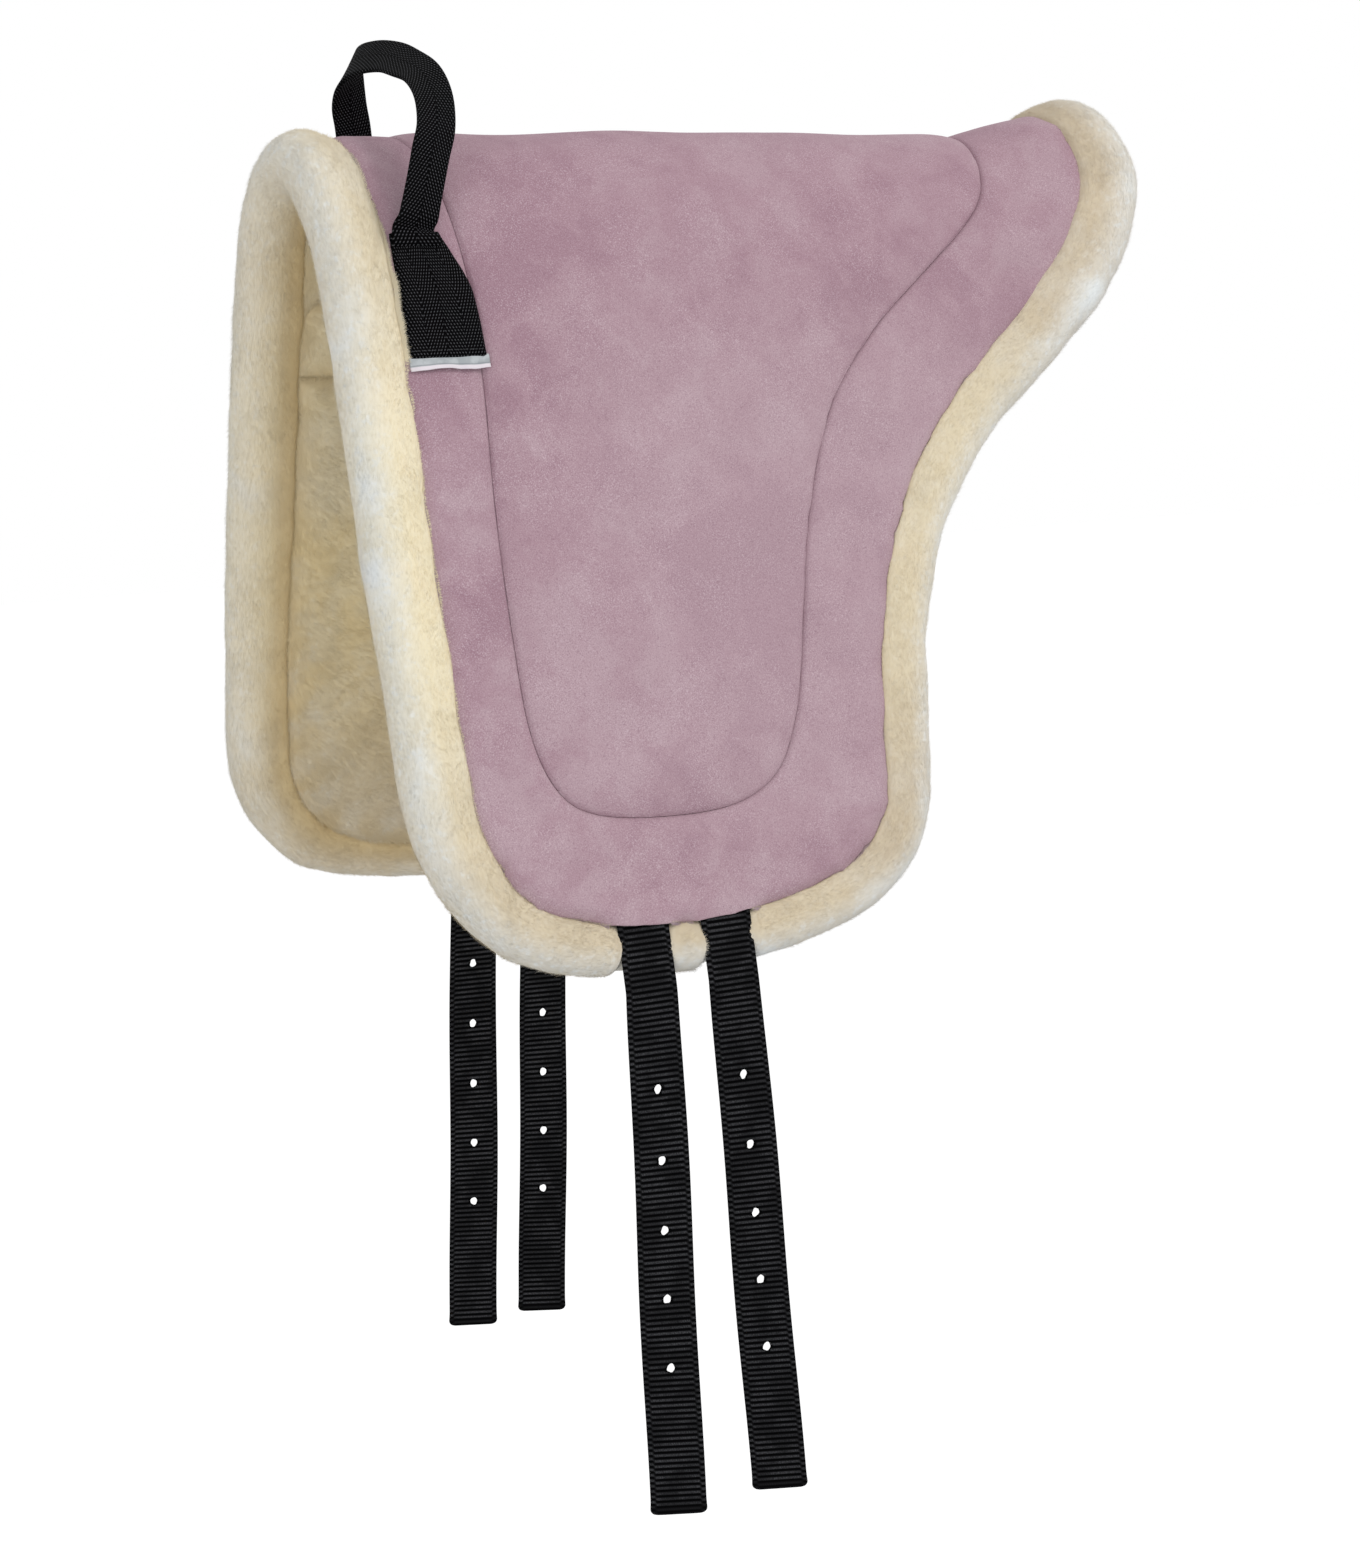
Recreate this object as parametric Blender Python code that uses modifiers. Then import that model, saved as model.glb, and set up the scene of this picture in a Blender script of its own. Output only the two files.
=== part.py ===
# Bareback pad: a soft riding pad with a plush edge roll, a grab handle and four girth straps.
# Metres, +Z up. X runs from the front (-X) to the tail (+X), and -Y is the horse's left.
# The origin lies on the underside of the spine. A place on the pad is given by x, by its drop
# (the way along the cloth from the spine, negative on the left) and by its height above the
# pad's middle surface.

import math

import bmesh
import bpy
import numpy
from mathutils import Matrix, Vector

for old in list(bpy.data.objects):
    bpy.data.objects.remove(old)

# Clearances
gap = 0.0004
seam_gap = 0.0003
sewn_gap = 0.0003

# The middle surface: level on the spine, turning into flaps that hang at flap_angle
flap_angle = math.radians(76)
spine_curl = 0.0652
tail_length = 0.098
tail_bend_length = 0.012
tail_slope = 0.2

# The outline, along the centre line of the edge roll
front_reach = 0.270
edge_length = 0.564
flap_drop = 0.521
roll_radius = 0.0215
# share of the edge length, share of the flap drop, share of the roll radius
edge_shares = [
    (0.000, 0.000, 1.00), (0.004, 0.250, 1.00), (0.007, 0.520, 1.00), (0.014, 0.770, 0.97),
    (0.031, 0.875, 0.94), (0.085, 0.955, 0.88), (0.178, 0.991, 0.80), (0.301, 1.000, 0.79),
    (0.425, 0.986, 0.81), (0.524, 0.948, 0.88), (0.577, 0.881, 0.95), (0.593, 0.769, 1.00),
    (0.610, 0.654, 1.00), (0.636, 0.564, 1.00), (0.675, 0.483, 1.00), (0.735, 0.403, 1.01),
    (0.801, 0.341, 1.02), (0.873, 0.285, 1.03), (0.937, 0.229, 1.05), (0.985, 0.158, 1.05),
    (0.998, 0.088, 1.02), (1.000, 0.000, 1.02),
]
edge_front_corner = 5
edge_rear_corner = 9

# The seat's seam, set in from the outline
front_inset = 0.058
rear_inset = 0.091
lower_inset = 0.079
seat_front = front_inset - front_reach
seat_length = edge_length - front_inset - rear_inset
seat_drop = flap_drop - lower_inset
# share of the seat length, share of the seat drop
seam_shares = [
    (0.000, 0.000), (0.016, 0.115), (0.031, 0.248), (0.030, 0.400), (0.022, 0.560),
    (0.022, 0.730), (0.030, 0.868), (0.062, 0.950), (0.122, 0.987), (0.243, 1.000),
    (0.352, 0.993), (0.426, 0.957), (0.468, 0.890), (0.492, 0.815), (0.511, 0.729),
    (0.545, 0.591), (0.612, 0.438), (0.708, 0.334), (0.800, 0.264), (0.906, 0.190),
    (0.961, 0.140), (0.988, 0.079), (1.000, 0.000),
]
seam_front_corner = 7
seam_rear_corner = 11

# Heights above the middle surface
border_height = 0.0174
seat_crown = 0.0024
seat_height = border_height + seat_crown
groove_depth = 0.0032
groove_width = 0.006
crown_width = 0.013
tuck_depth = 0.0016
tuck_width = 0.008
cover_thickness = 0.0012
cover_slope_share = 1.3
cover_overlap_share = 0.86
border_slack = 0.0008
foam_under = 0.0090
foam_setback = 0.0015
tail_setback = 0.0030
lining_gap = 0.0006
lining_edge_thickness = 0.0029
lining_rise = 0.0055
lining_edge_height = foam_under + lining_gap + lining_edge_thickness
lining_height = lining_edge_height + lining_rise
pillow_width = 0.008

# The lining's seams, as drops
spine_seam_drop = 0.109
small_panel_width = 0.057
lower_seam_drop = spine_seam_drop + small_panel_width
seam_corner_drop = 0.018
seam_corner_run = 0.010

# The grid of the cloths and the steps along the roll
spine_rows = 9
upper_rows = 2
flap_rows = 4
corner_rows = 5
even_row_share = 0.3775
even_row_drop = lower_seam_drop + even_row_share * (flap_drop - lower_seam_drop)
seat_column_shares = (0, 0.03, 0.12, 0.27, 0.42, 0.57, 0.71, 0.83, 0.91, 0.97, 1)
lining_column_shares = (0, 0.04, 0.25, 0.5, 0.72, 0.78, 0.82, 0.86, 0.9, 0.96, 1)
border_level_shares = (0, 0.13, 0.5, 0.86, 1)
foam_level_shares = (0, 0.13, 0.86, 1)
outline_steps = 12
end_steps = 6
roll_step = 0.022
roll_fine_step = 0.004

# Girth straps
strap_width = 0.035
strap_thickness = 0.0024
strap_height = border_height - tuck_depth - cover_thickness - sewn_gap - strap_thickness / 2
left_setback = 0.127
right_setback = 0.188
strap_spacing = 0.057
left_front_x = left_setback - front_reach
left_rear_x = left_front_x + strap_spacing
right_front_x = right_setback - front_reach
right_rear_x = right_front_x + strap_spacing
strap_tuck = 0.046
strap_clearance = 0.0003
hinge_below_roll = 0.007
strap_length = 0.337
right_strap_extra = 0.010
hole_diameter = 0.0055
hole_pitch = 0.0449
hole_count = 5
first_hole = 0.0612
left_front_lean = math.radians(1.8)
left_rear_lean = math.radians(4.6)
right_front_lean = math.radians(-1.9)
right_rear_lean = math.radians(-1.9)
squeeze_margin = 0.004
squeeze_run = 0.005
squeeze_shift = 0.0017
squeeze_clearance = 0.0009
squeezed_radius = strap_height - strap_thickness / 2 - squeeze_clearance + squeeze_shift

# Handle
webbing_width = 0.050
webbing_thickness = 0.0018
anchor_clearance = 0.001
anchor_length = 0.0735
anchor_top_drop = 0.0835
anchor_front = roll_radius + anchor_clearance - front_reach
anchor_bottom_drop = anchor_top_drop + anchor_length
# share of the anchor's length from its lower edge, share of the webbing's width left there
anchor_shares = [(0.00, 1.00), (0.30, 0.985), (0.57, 0.94), (0.76, 0.82), (1.00, 0.63)]
label_height = 0.0062
label_thickness = 0.0007
grip_width = 0.024
grip_thickness = 0.0036
grip_setback = 0.0115
grip_lap = 0.0015
grip_hinge_x = anchor_front + grip_setback
grip_hinge_drop = anchor_top_drop + grip_lap
grip_rise = 0.108
grip_lean = 0.030
grip_twist = math.radians(58)
# left to right: shares of the lean, of the half span, of the rise and of the twist
grip_shares = [
    (0.00, -1.00, 0.00, 0.00), (0.17, -0.99, 0.13, 0.00), (0.35, -0.97, 0.29, 0.00),
    (0.53, -0.93, 0.44, 0.00), (0.77, -0.85, 0.59, 0.00), (0.95, -0.68, 0.76, 0.15),
    (1.00, -0.46, 0.89, 0.40), (0.93, -0.21, 0.96, 0.65), (0.87, 0.00, 1.00, 0.78),
    (0.73, 0.25, 1.01, 0.95), (0.65, 0.49, 0.98, 1.00), (0.78, 0.66, 0.89, 0.50),
    (0.90, 0.78, 0.76, 0.10), (1.03, 0.83, 0.63, 0.00), (1.10, 0.88, 0.47, 0.00),
    (0.90, 0.94, 0.31, 0.00), (0.47, 0.99, 0.15, 0.00), (0.00, 1.00, 0.00, 0.00),
]
grip_steps = 3

# Strap roots leave the pad below the roll, and hinges sit at their lower ends
strap_hinge_drop = flap_drop + roll_radius * edge_shares[7][2] + hinge_below_roll
table_drop = strap_hinge_drop + strap_length


def material(name, colour, roughness):
    made = bpy.data.materials.new(name)
    made.use_nodes = True
    shader = made.node_tree.nodes["Principled BSDF"]
    shader.inputs["Base Color"].default_value = (*colour, 1)
    shader.inputs["Roughness"].default_value = roughness
    shader.inputs["Metallic"].default_value = 0
    return made


suede_seat = material("suede_seat", (0.44, 0.28, 0.34), 0.95)
suede_border = material("suede_border", (0.41, 0.26, 0.32), 0.95)
plush_roll = material("plush_roll", (0.80, 0.72, 0.58), 1.0)
plush_lining = material("plush_lining", (0.74, 0.64, 0.47), 1.0)
foam_white = material("foam_white", (0.86, 0.85, 0.80), 0.9)
webbing_ribbed = material("webbing_ribbed", (0.015, 0.015, 0.017), 0.7)
webbing_twill = material("webbing_twill", (0.012, 0.012, 0.013), 0.6)
label_grey = material("label_grey", (0.55, 0.56, 0.58), 0.6)

parts = bpy.data.collections.new("bareback_pad")
cutters = bpy.data.collections.new("cutters")
bpy.context.scene.collection.children.link(parts)
bpy.context.scene.collection.children.link(cutters)


# The middle surface

def profile():
    # Slope, way across and way down of the cross-section at each drop from the spine.
    drops = numpy.linspace(0, table_drop, 1201)
    slope = flap_angle * numpy.tanh(drops / spine_curl)
    step = drops[1]
    across = numpy.concatenate([[0], numpy.cumsum(numpy.cos(slope[1:]) + numpy.cos(slope[:-1]))])
    down = numpy.concatenate([[0], numpy.cumsum(numpy.sin(slope[1:]) + numpy.sin(slope[:-1]))])
    return drops, slope, across * step / 2, down * step / 2


drop_table, slope_table, across_table, down_table = profile()


def slope_at(drop):
    return numpy.interp(numpy.abs(drop), drop_table, slope_table)


def place(x, drop, height):
    # The point of the pad at x, drop and height, where the tail curls up a little.
    x, drop, height = numpy.broadcast_arrays(x, drop, height)
    away = numpy.abs(drop)
    slope = slope_at(drop)
    across = numpy.interp(away, drop_table, across_table) + height * numpy.sin(slope)
    up = height * numpy.cos(slope) - numpy.interp(away, drop_table, down_table)
    past_bend = (x - (edge_length - front_reach - tail_length)) / tail_bend_length
    rise = tail_slope * tail_bend_length * numpy.log1p(numpy.exp(past_bend))
    return numpy.stack([x, numpy.sign(drop) * across, up + lining_height + rise], -1)


# Outlines in x and drop

def smooth(rows, steps, mirror):
    # A Catmull-Rom curve through the rows, whose ends run on as their mirror images.
    rows = numpy.array(rows, dtype=float)
    rows = numpy.vstack([rows[1] * mirror, rows, rows[-2] * mirror])
    t = numpy.arange(steps)[:, None] / steps
    spans = []
    for a, b, c, d in zip(rows, rows[1:], rows[2:], rows[3:]):
        rise = (c - a) * t + (2 * a - 5 * b + 4 * c - d) * t ** 2 + (3 * b - a - 3 * c + d) * t ** 3
        spans.append(b + rise / 2)
    return numpy.vstack(spans + [rows[-2:-1]])


edge = smooth(edge_shares, outline_steps, numpy.array([1, -1, 1]))
edge_path = edge[:, :2] * (edge_length, flap_drop) - (front_reach, 0)
edge_radius = edge[:, 2] * roll_radius
past_tail = (edge_path[:, 0] + front_reach + tail_length - edge_length) / tail_bend_length
tail_room = tail_setback * numpy.clip(past_tail, 0, 1)
seam_path = smooth(seam_shares, outline_steps, numpy.array([1, -1])) * (seat_length, seat_drop)
seam_path = seam_path + (seat_front, 0)


def inset(path, distance):
    # The path moved inwards, with its ends kept on the spine.
    along = numpy.gradient(path, axis=0)
    along = along / numpy.linalg.norm(along, axis=1)[:, None]
    inwards = numpy.stack([along[:, 1], -along[:, 0]], -1)
    moved = path + inwards * numpy.reshape(distance, (-1, 1))
    moved[0, 1] = 0
    moved[-1, 1] = 0
    return moved


def spread(path, shares):
    # Points of the path at the given shares of its length.
    way = numpy.concatenate([[0], numpy.cumsum(numpy.linalg.norm(numpy.diff(path, axis=0), axis=1))])
    wanted = numpy.array(shares) * way[-1]
    return numpy.stack([numpy.interp(wanted, way, path[:, i]) for i in range(2)], -1)


def row_drops():
    spine = numpy.linspace(0, spine_seam_drop, spine_rows + 1)
    upper = numpy.linspace(spine_seam_drop, lower_seam_drop, upper_rows + 1)
    flap = numpy.linspace(lower_seam_drop, even_row_drop, flap_rows + 1)
    return numpy.concatenate([spine, upper[1:], flap[1:]])


def side_edges(path, corners, columns, drops):
    # One side of an outline: its rows down the front and rear edges, then its corners and bottom.
    front_corner, rear_corner = (corner * outline_steps for corner in corners)
    front = path[:front_corner + 1]
    rear = path[rear_corner:]
    front_rows = numpy.stack([numpy.interp(drops, front[:, 1], front[:, 0]), drops], -1)
    rear_rows = numpy.stack([numpy.interp(drops, rear[::-1, 1], rear[::-1, 0]), drops], -1)
    down = numpy.linspace(0, 1, corner_rows + 1)
    front_end = numpy.vstack([front_rows[-1:], front[front[:, 1] > drops[-1]]])
    rear_end = numpy.vstack([rear_rows[-1:], rear[::-1][rear[::-1, 1] > drops[-1]]])
    lower_front = spread(front_end, down)
    lower_rear = spread(rear_end, down)
    bottom = spread(path[front_corner:rear_corner + 1], columns)
    return front_rows, rear_rows, lower_front, lower_rear, bottom


def side_grid(edges, columns):
    # Rows of points that fill one side of an outline, from the spine to its lower edge.
    front_rows, rear_rows, lower_front, lower_rear, bottom = edges
    u = numpy.array(columns)[None, :, None]
    w = numpy.linspace(0, 1, len(lower_front))[:, None, None]
    upper = (1 - u) * front_rows[:, None] + u * rear_rows[:, None]
    ends = (1 - u) * lower_front[:, None] + u * lower_rear[:, None]
    tops = (1 - w) * upper[-1][None] + w * bottom[None]
    corners = (1 - w) * upper[-1][None] + w * ((1 - u) * bottom[0] + u * bottom[-1])
    return numpy.concatenate([upper, (ends + tops - corners)[1:]])


def side_loop(edges):
    # The same outline as one run of points, from the front of the spine to its rear.
    front_rows, rear_rows, lower_front, lower_rear, bottom = edges
    return numpy.concatenate([front_rows, lower_front[1:], bottom[1:-1], lower_rear[:0:-1],
                              rear_rows[::-1]])


def both_sides(half):
    # The mirror image across the spine, put before the half.
    return numpy.concatenate([half[:0:-1] * (1, -1), half])


def closed_loop(half):
    return numpy.concatenate([half, half[-2:0:-1] * (1, -1)])


def distance_to(points, path):
    # The least distance from each point to a path and to its mirror image.
    path = numpy.vstack([path, path * (1, -1)])
    apart = points[..., None, :] - path
    return numpy.sqrt((apart ** 2).sum(-1)).min(-1)


# Meshes

def grid_faces(rows, columns, closed=False):
    faces = []
    for i in range(rows if closed else rows - 1):
        for j in range(columns - 1):
            k = (i + 1) % rows
            faces.append((i * columns + j, i * columns + j + 1, k * columns + j + 1, k * columns + j))
    return faces


def finish(name, mesh, finish_material):
    shape = bmesh.new()
    shape.from_mesh(mesh)
    bmesh.ops.recalc_face_normals(shape, faces=shape.faces)
    shape.to_mesh(mesh)
    shape.free()
    mesh.materials.append(finish_material)
    mesh.shade_smooth()
    made = bpy.data.objects.new(name, mesh)
    parts.objects.link(made)
    return made


def sheet(name, points, faces, thickness, offset, sheet_material):
    # A cloth: an open surface thickened by Solidify.
    mesh = bpy.data.meshes.new(name)
    mesh.from_pydata(points.reshape(-1, 3).tolist(), [], faces)
    made = finish(name, mesh, sheet_material)
    solid = made.modifiers.new("thickness", "SOLIDIFY")
    solid.thickness = thickness
    solid.offset = offset
    solid.use_even_offset = True
    return made


def filling(name, top, bottom, faces, filling_material):
    # A loft between an upper and a lower surface of like grids, closed by a wall round the rim.
    top = top.reshape(-1, 3)
    count = len(top)
    used = {}
    for face in faces:
        for a, b in zip(face, face[1:] + face[:1]):
            used[(a, b)] = True
    walls = [(b, a, a + count, b + count) for a, b in used if (b, a) not in used]
    under = [tuple(corner + count for corner in reversed(face)) for face in faces]
    mesh = bpy.data.meshes.new(name)
    mesh.from_pydata(numpy.vstack([top, bottom.reshape(-1, 3)]).tolist(), [], faces + under + walls)
    return finish(name, mesh, filling_material)


def sharp_edged(made):
    made.data.set_sharp_from_angle(angle=math.radians(40))
    return made


# Covers and their fillings

drops = row_drops()


def seat_heights(points):
    rise = seat_height - border_height + groove_depth
    return seat_height - rise * numpy.exp(-distance_to(points, seam_path) / crown_width)


def seat():
    corners = (seam_front_corner, seam_rear_corner)
    path = inset(seam_path, seam_gap)
    grid = both_sides(side_grid(side_edges(path, corners, seat_column_shares, drops),
                                seat_column_shares))
    faces = grid_faces(*grid.shape[:2])
    heights = seat_heights(grid)
    top = place(grid[..., 0], grid[..., 1], heights)
    sheet("seat_cover", top, faces, cover_thickness, -1, suede_seat)
    path = inset(seam_path, 2 * seam_gap)
    grid = both_sides(side_grid(side_edges(path, corners, seat_column_shares, drops),
                                seat_column_shares))
    heights = heights - cover_thickness * cover_slope_share - gap
    filling("seat_foam", place(grid[..., 0], grid[..., 1], heights),
            place(grid[..., 0], grid[..., 1], -foam_under), faces, foam_white)


def ring(inner, outer, levels):
    # Points between two closed outlines, with their distances to the inner and outer one.
    share = numpy.array(levels)[None, :, None]
    points = inner[:, None] * (1 - share) + outer[:, None] * share
    width = numpy.linalg.norm(outer - inner, axis=1)[:, None]
    return points, width * share[..., 0], width * (1 - share[..., 0])


def border_heights(from_seam, from_edge):
    groove = groove_depth * numpy.exp(-from_seam / groove_width)
    return border_height - groove - tuck_depth * numpy.exp(-from_edge / tuck_width)


def loop_of(path, corners):
    return closed_loop(side_loop(side_edges(path, corners, seat_column_shares, drops)))


def border():
    seam_corners = (seam_front_corner, seam_rear_corner)
    edge_corners = (edge_front_corner, edge_rear_corner)
    inner = loop_of(inset(seam_path, -seam_gap), seam_corners)
    outer = loop_of(inset(edge_path, edge_radius * cover_overlap_share + tail_room / 2), edge_corners)
    points, from_seam, from_edge = ring(inner, outer, border_level_shares)
    faces = grid_faces(*points.shape[:2], closed=True)
    top = place(points[..., 0], points[..., 1], border_heights(from_seam, from_edge))
    sheet("border_cover", top, faces, cover_thickness, -1, suede_border)
    inner = loop_of(inset(seam_path, -2 * seam_gap), seam_corners)
    outer = loop_of(inset(edge_path, edge_radius + foam_setback + tail_room), edge_corners)
    points, from_seam, from_edge = ring(inner, outer, foam_level_shares)
    faces = grid_faces(*points.shape[:2], closed=True)
    heights = border_heights(from_seam, from_edge) - cover_thickness * cover_slope_share
    heights = heights - gap - border_slack
    return filling("border_foam", place(points[..., 0], points[..., 1], heights),
                   place(points[..., 0], points[..., 1], -foam_under), faces, foam_white)


# Lining panels

def lining_panel(name, grid):
    # A plush panel under the filling, plump in its middle and drawn in along its seams.
    rim = numpy.concatenate([grid[0], grid[-1], grid[:, 0], grid[:, -1]])
    apart = numpy.sqrt(((grid[..., None, :] - rim) ** 2).sum(-1)).min(-1)
    plump = (lining_height - lining_edge_height) * (1 - numpy.exp(-apart / pillow_width))
    filling(name, place(grid[..., 0], grid[..., 1], -(foam_under + lining_gap)),
            place(grid[..., 0], grid[..., 1], -(lining_edge_height + plump)),
            grid_faces(*grid.shape[:2]), plush_lining)


def lining_rows(path, corners, at_drops):
    front_corner, rear_corner = (corner * outline_steps for corner in corners)
    front = path[:front_corner + 1]
    rear = path[rear_corner:][::-1]
    starts = numpy.interp(at_drops, front[:, 1], front[:, 0])
    ends = numpy.interp(at_drops, rear[:, 1], rear[:, 0])
    u = numpy.array(lining_column_shares)
    x = starts[:, None] * (1 - u) + ends[:, None] * u
    return numpy.stack([x, numpy.broadcast_to(at_drops[:, None], x.shape)], -1)


def corner_bend(row):
    # The upper panels have a round front corner, so their seam drops towards the front edge.
    return seam_corner_drop * numpy.exp(-(row[:, 0] - row[0, 0]) / seam_corner_run)


def linings():
    corners = (edge_front_corner, edge_rear_corner)
    path = inset(edge_path, edge_radius + foam_setback + tail_room)
    spine = numpy.append(drops[:spine_rows], (spine_seam_drop - pillow_width, spine_seam_drop))
    spine = lining_rows(path, corners, numpy.sort(spine))
    spine[-1, :, 1] += corner_bend(spine[-1]) - seam_gap
    lining_panel("lining_spine", both_sides(spine))
    rows = (spine_seam_drop, spine_seam_drop + pillow_width, lower_seam_drop - pillow_width,
            lower_seam_drop - seam_gap)
    upper = lining_rows(path, corners, numpy.array(rows))
    upper[0, :, 1] += corner_bend(upper[0]) + seam_gap
    upper[1, :, 1] += corner_bend(upper[1])
    edges = side_edges(path, corners, lining_column_shares, drops)
    lower = side_grid(edges, lining_column_shares)[spine_rows + upper_rows + 1:]
    rows = (lower_seam_drop + seam_gap, lower_seam_drop + pillow_width)
    lower = numpy.concatenate([lining_rows(path, corners, numpy.array(rows)), lower])
    for side, sign in (("left", -1), ("right", 1)):
        lining_panel("lining_upper_" + side, upper * (1, sign))
        lining_panel("lining_flap_" + side, lower * (1, sign))


# Edge roll

strap_places = {-1: (left_front_x, left_rear_x), 1: (right_front_x, right_rear_x)}


def squeeze(x, sign):
    # How far the roll is pressed in behind the girth straps: 0 beside them and 1 behind them.
    pressed = 0
    for centre in strap_places[sign]:
        beyond = (numpy.abs(x - centre) - strap_width / 2 - squeeze_margin) / squeeze_run
        pressed = numpy.maximum(pressed, numpy.clip(1 - beyond, 0, 1))
    return pressed


def roll_points(path, radius, start, end, sign):
    # Path points from way start to way end, close together near the straps and over the spine.
    front_x, rear_x = strap_places[sign]
    way = numpy.concatenate([[0], numpy.cumsum(numpy.linalg.norm(numpy.diff(path, axis=0), axis=1))])
    at = [start]
    while at[-1] < end:
        x, drop = (numpy.interp(at[-1], way, path[:, i]) for i in range(2))
        near_straps = drop > even_row_drop and front_x - strap_width < x < rear_x + strap_width
        over_spine = drop < spine_seam_drop
        ahead = roll_fine_step if near_straps else (roll_step / 2 if over_spine else roll_step)
        at.append(min(at[-1] + ahead, end))
    x, drop, size = (numpy.interp(at, way, column) for column in (path[:, 0], path[:, 1], radius))
    return numpy.stack([x, sign * drop, size], -1)


def tube(name, points):
    # The roll as a sharp_edged curve along its points, each with its own radius.
    left, right = squeeze(points[:, 0], -1), squeeze(points[:, 0], 1)
    pressed = numpy.where(points[:, 1] > even_row_drop, right, 0)
    pressed = numpy.where(points[:, 1] < -even_row_drop, left, pressed)
    centres = place(points[:, 0], points[:, 1], -squeeze_shift * pressed)
    radii = points[:, 2] * (1 - pressed) + squeezed_radius * pressed
    curve = bpy.data.curves.new(name, "CURVE")
    curve.dimensions = "3D"
    curve.bevel_depth = roll_radius
    curve.bevel_resolution = 3
    curve.use_fill_caps = True
    curve.materials.append(plush_roll)
    spline = curve.splines.new("POLY")
    spline.points.add(len(centres) - 1)
    for point, centre, radius in zip(spline.points, centres, radii):
        point.co = (*centre, 1)
        point.radius = radius / roll_radius
    made = bpy.data.objects.new(name, curve)
    parts.objects.link(made)
    return made


def way_at(path, x):
    # The way along the outline's lower edge at which it passes x.
    way = numpy.concatenate([[0], numpy.cumsum(numpy.linalg.norm(numpy.diff(path, axis=0), axis=1))])
    low = (path[:, 1] > even_row_drop) & (path[:, 0] < 0)
    low = low & (numpy.arange(len(path)) > edge_front_corner * outline_steps)
    return numpy.interp(x, path[low, 0], way[low]), way[-1]


def rolls():
    front, rear = {}, {}
    for side, sign in (("left", -1), ("right", 1)):
        front_end, whole = way_at(edge_path, strap_places[sign][0])
        rear_start, _ = way_at(edge_path, strap_places[sign][1])
        front[sign] = roll_points(edge_path, edge_radius, 0, front_end, sign)
        rear[sign] = roll_points(edge_path, edge_radius, rear_start, whole, sign)
        between = roll_points(edge_path, edge_radius, front_end + 2 * gap, rear_start - 2 * gap, sign)
        tube("edge_roll_between_" + side, between)
    tube("edge_roll_front", numpy.concatenate([front[-1][:0:-1], front[1]]))
    tube("edge_roll_rear", numpy.concatenate([rear[1], rear[-1][-2::-1]]))


# Girth straps

half_share = 0.5


def plate(name, size, frame, collection, plate_material=None):
    # A box of size (along X, thickness, length) whose top edge is at the frame's origin.
    mesh = bpy.data.meshes.new(name)
    shape = bmesh.new()
    bmesh.ops.create_cube(shape, size=1)
    bmesh.ops.translate(shape, verts=shape.verts, vec=(0, 0, -half_share))
    bmesh.ops.scale(shape, verts=shape.verts, vec=size)
    bmesh.ops.transform(shape, verts=shape.verts, matrix=frame)
    shape.to_mesh(mesh)
    shape.free()
    made = bpy.data.objects.new(name, mesh)
    if plate_material:
        mesh.materials.append(plate_material)
    collection.objects.link(made)
    return made


def cut(target, cutter):
    cutter.hide_render = True
    cutter.display_type = "WIRE"
    boolean = target.modifiers.new(cutter.name, "BOOLEAN")
    boolean.operation = "DIFFERENCE"
    boolean.solver = "EXACT"
    boolean.object = cutter


def flap_frame(x, drop, height, sign):
    # Axes on the flap: X along it, Y out of it and Z up the cloth.
    slope = float(slope_at(drop))
    out = Vector((0, sign * math.sin(slope), math.cos(slope)))
    up = Vector((0, -sign * math.cos(slope), math.sin(slope)))
    side = out.cross(up)
    frame = Matrix((side, out, up)).transposed().to_4x4()
    frame.translation = Vector(place(x, sign * drop, height))
    return frame


def girth_mesh(name, length, lean):
    # A flat strap that hangs from the origin: its upper end is round about X, and it leans along X.
    shape = bmesh.new()
    end = strap_thickness / 2
    turns = numpy.linspace(0, math.pi, end_steps + 1)
    profile_points = [(end * math.cos(turn), end * math.sin(turn)) for turn in turns]
    profile_points += [(-end, -length), (end, -length)]
    sides = []
    for x in (-strap_width / 2, strap_width / 2):
        sides.append([shape.verts.new((x - z * math.tan(lean), y, z)) for y, z in profile_points])
    shape.faces.new(sides[0])
    shape.faces.new(sides[1][::-1])
    for i in range(len(profile_points)):
        shape.faces.new((sides[0][i - 1], sides[0][i], sides[1][i], sides[1][i - 1]))
    bmesh.ops.recalc_face_normals(shape, faces=shape.faces)
    mesh = bpy.data.meshes.new(name)
    shape.to_mesh(mesh)
    shape.free()
    mesh.materials.append(webbing_ribbed)
    return mesh


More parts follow.
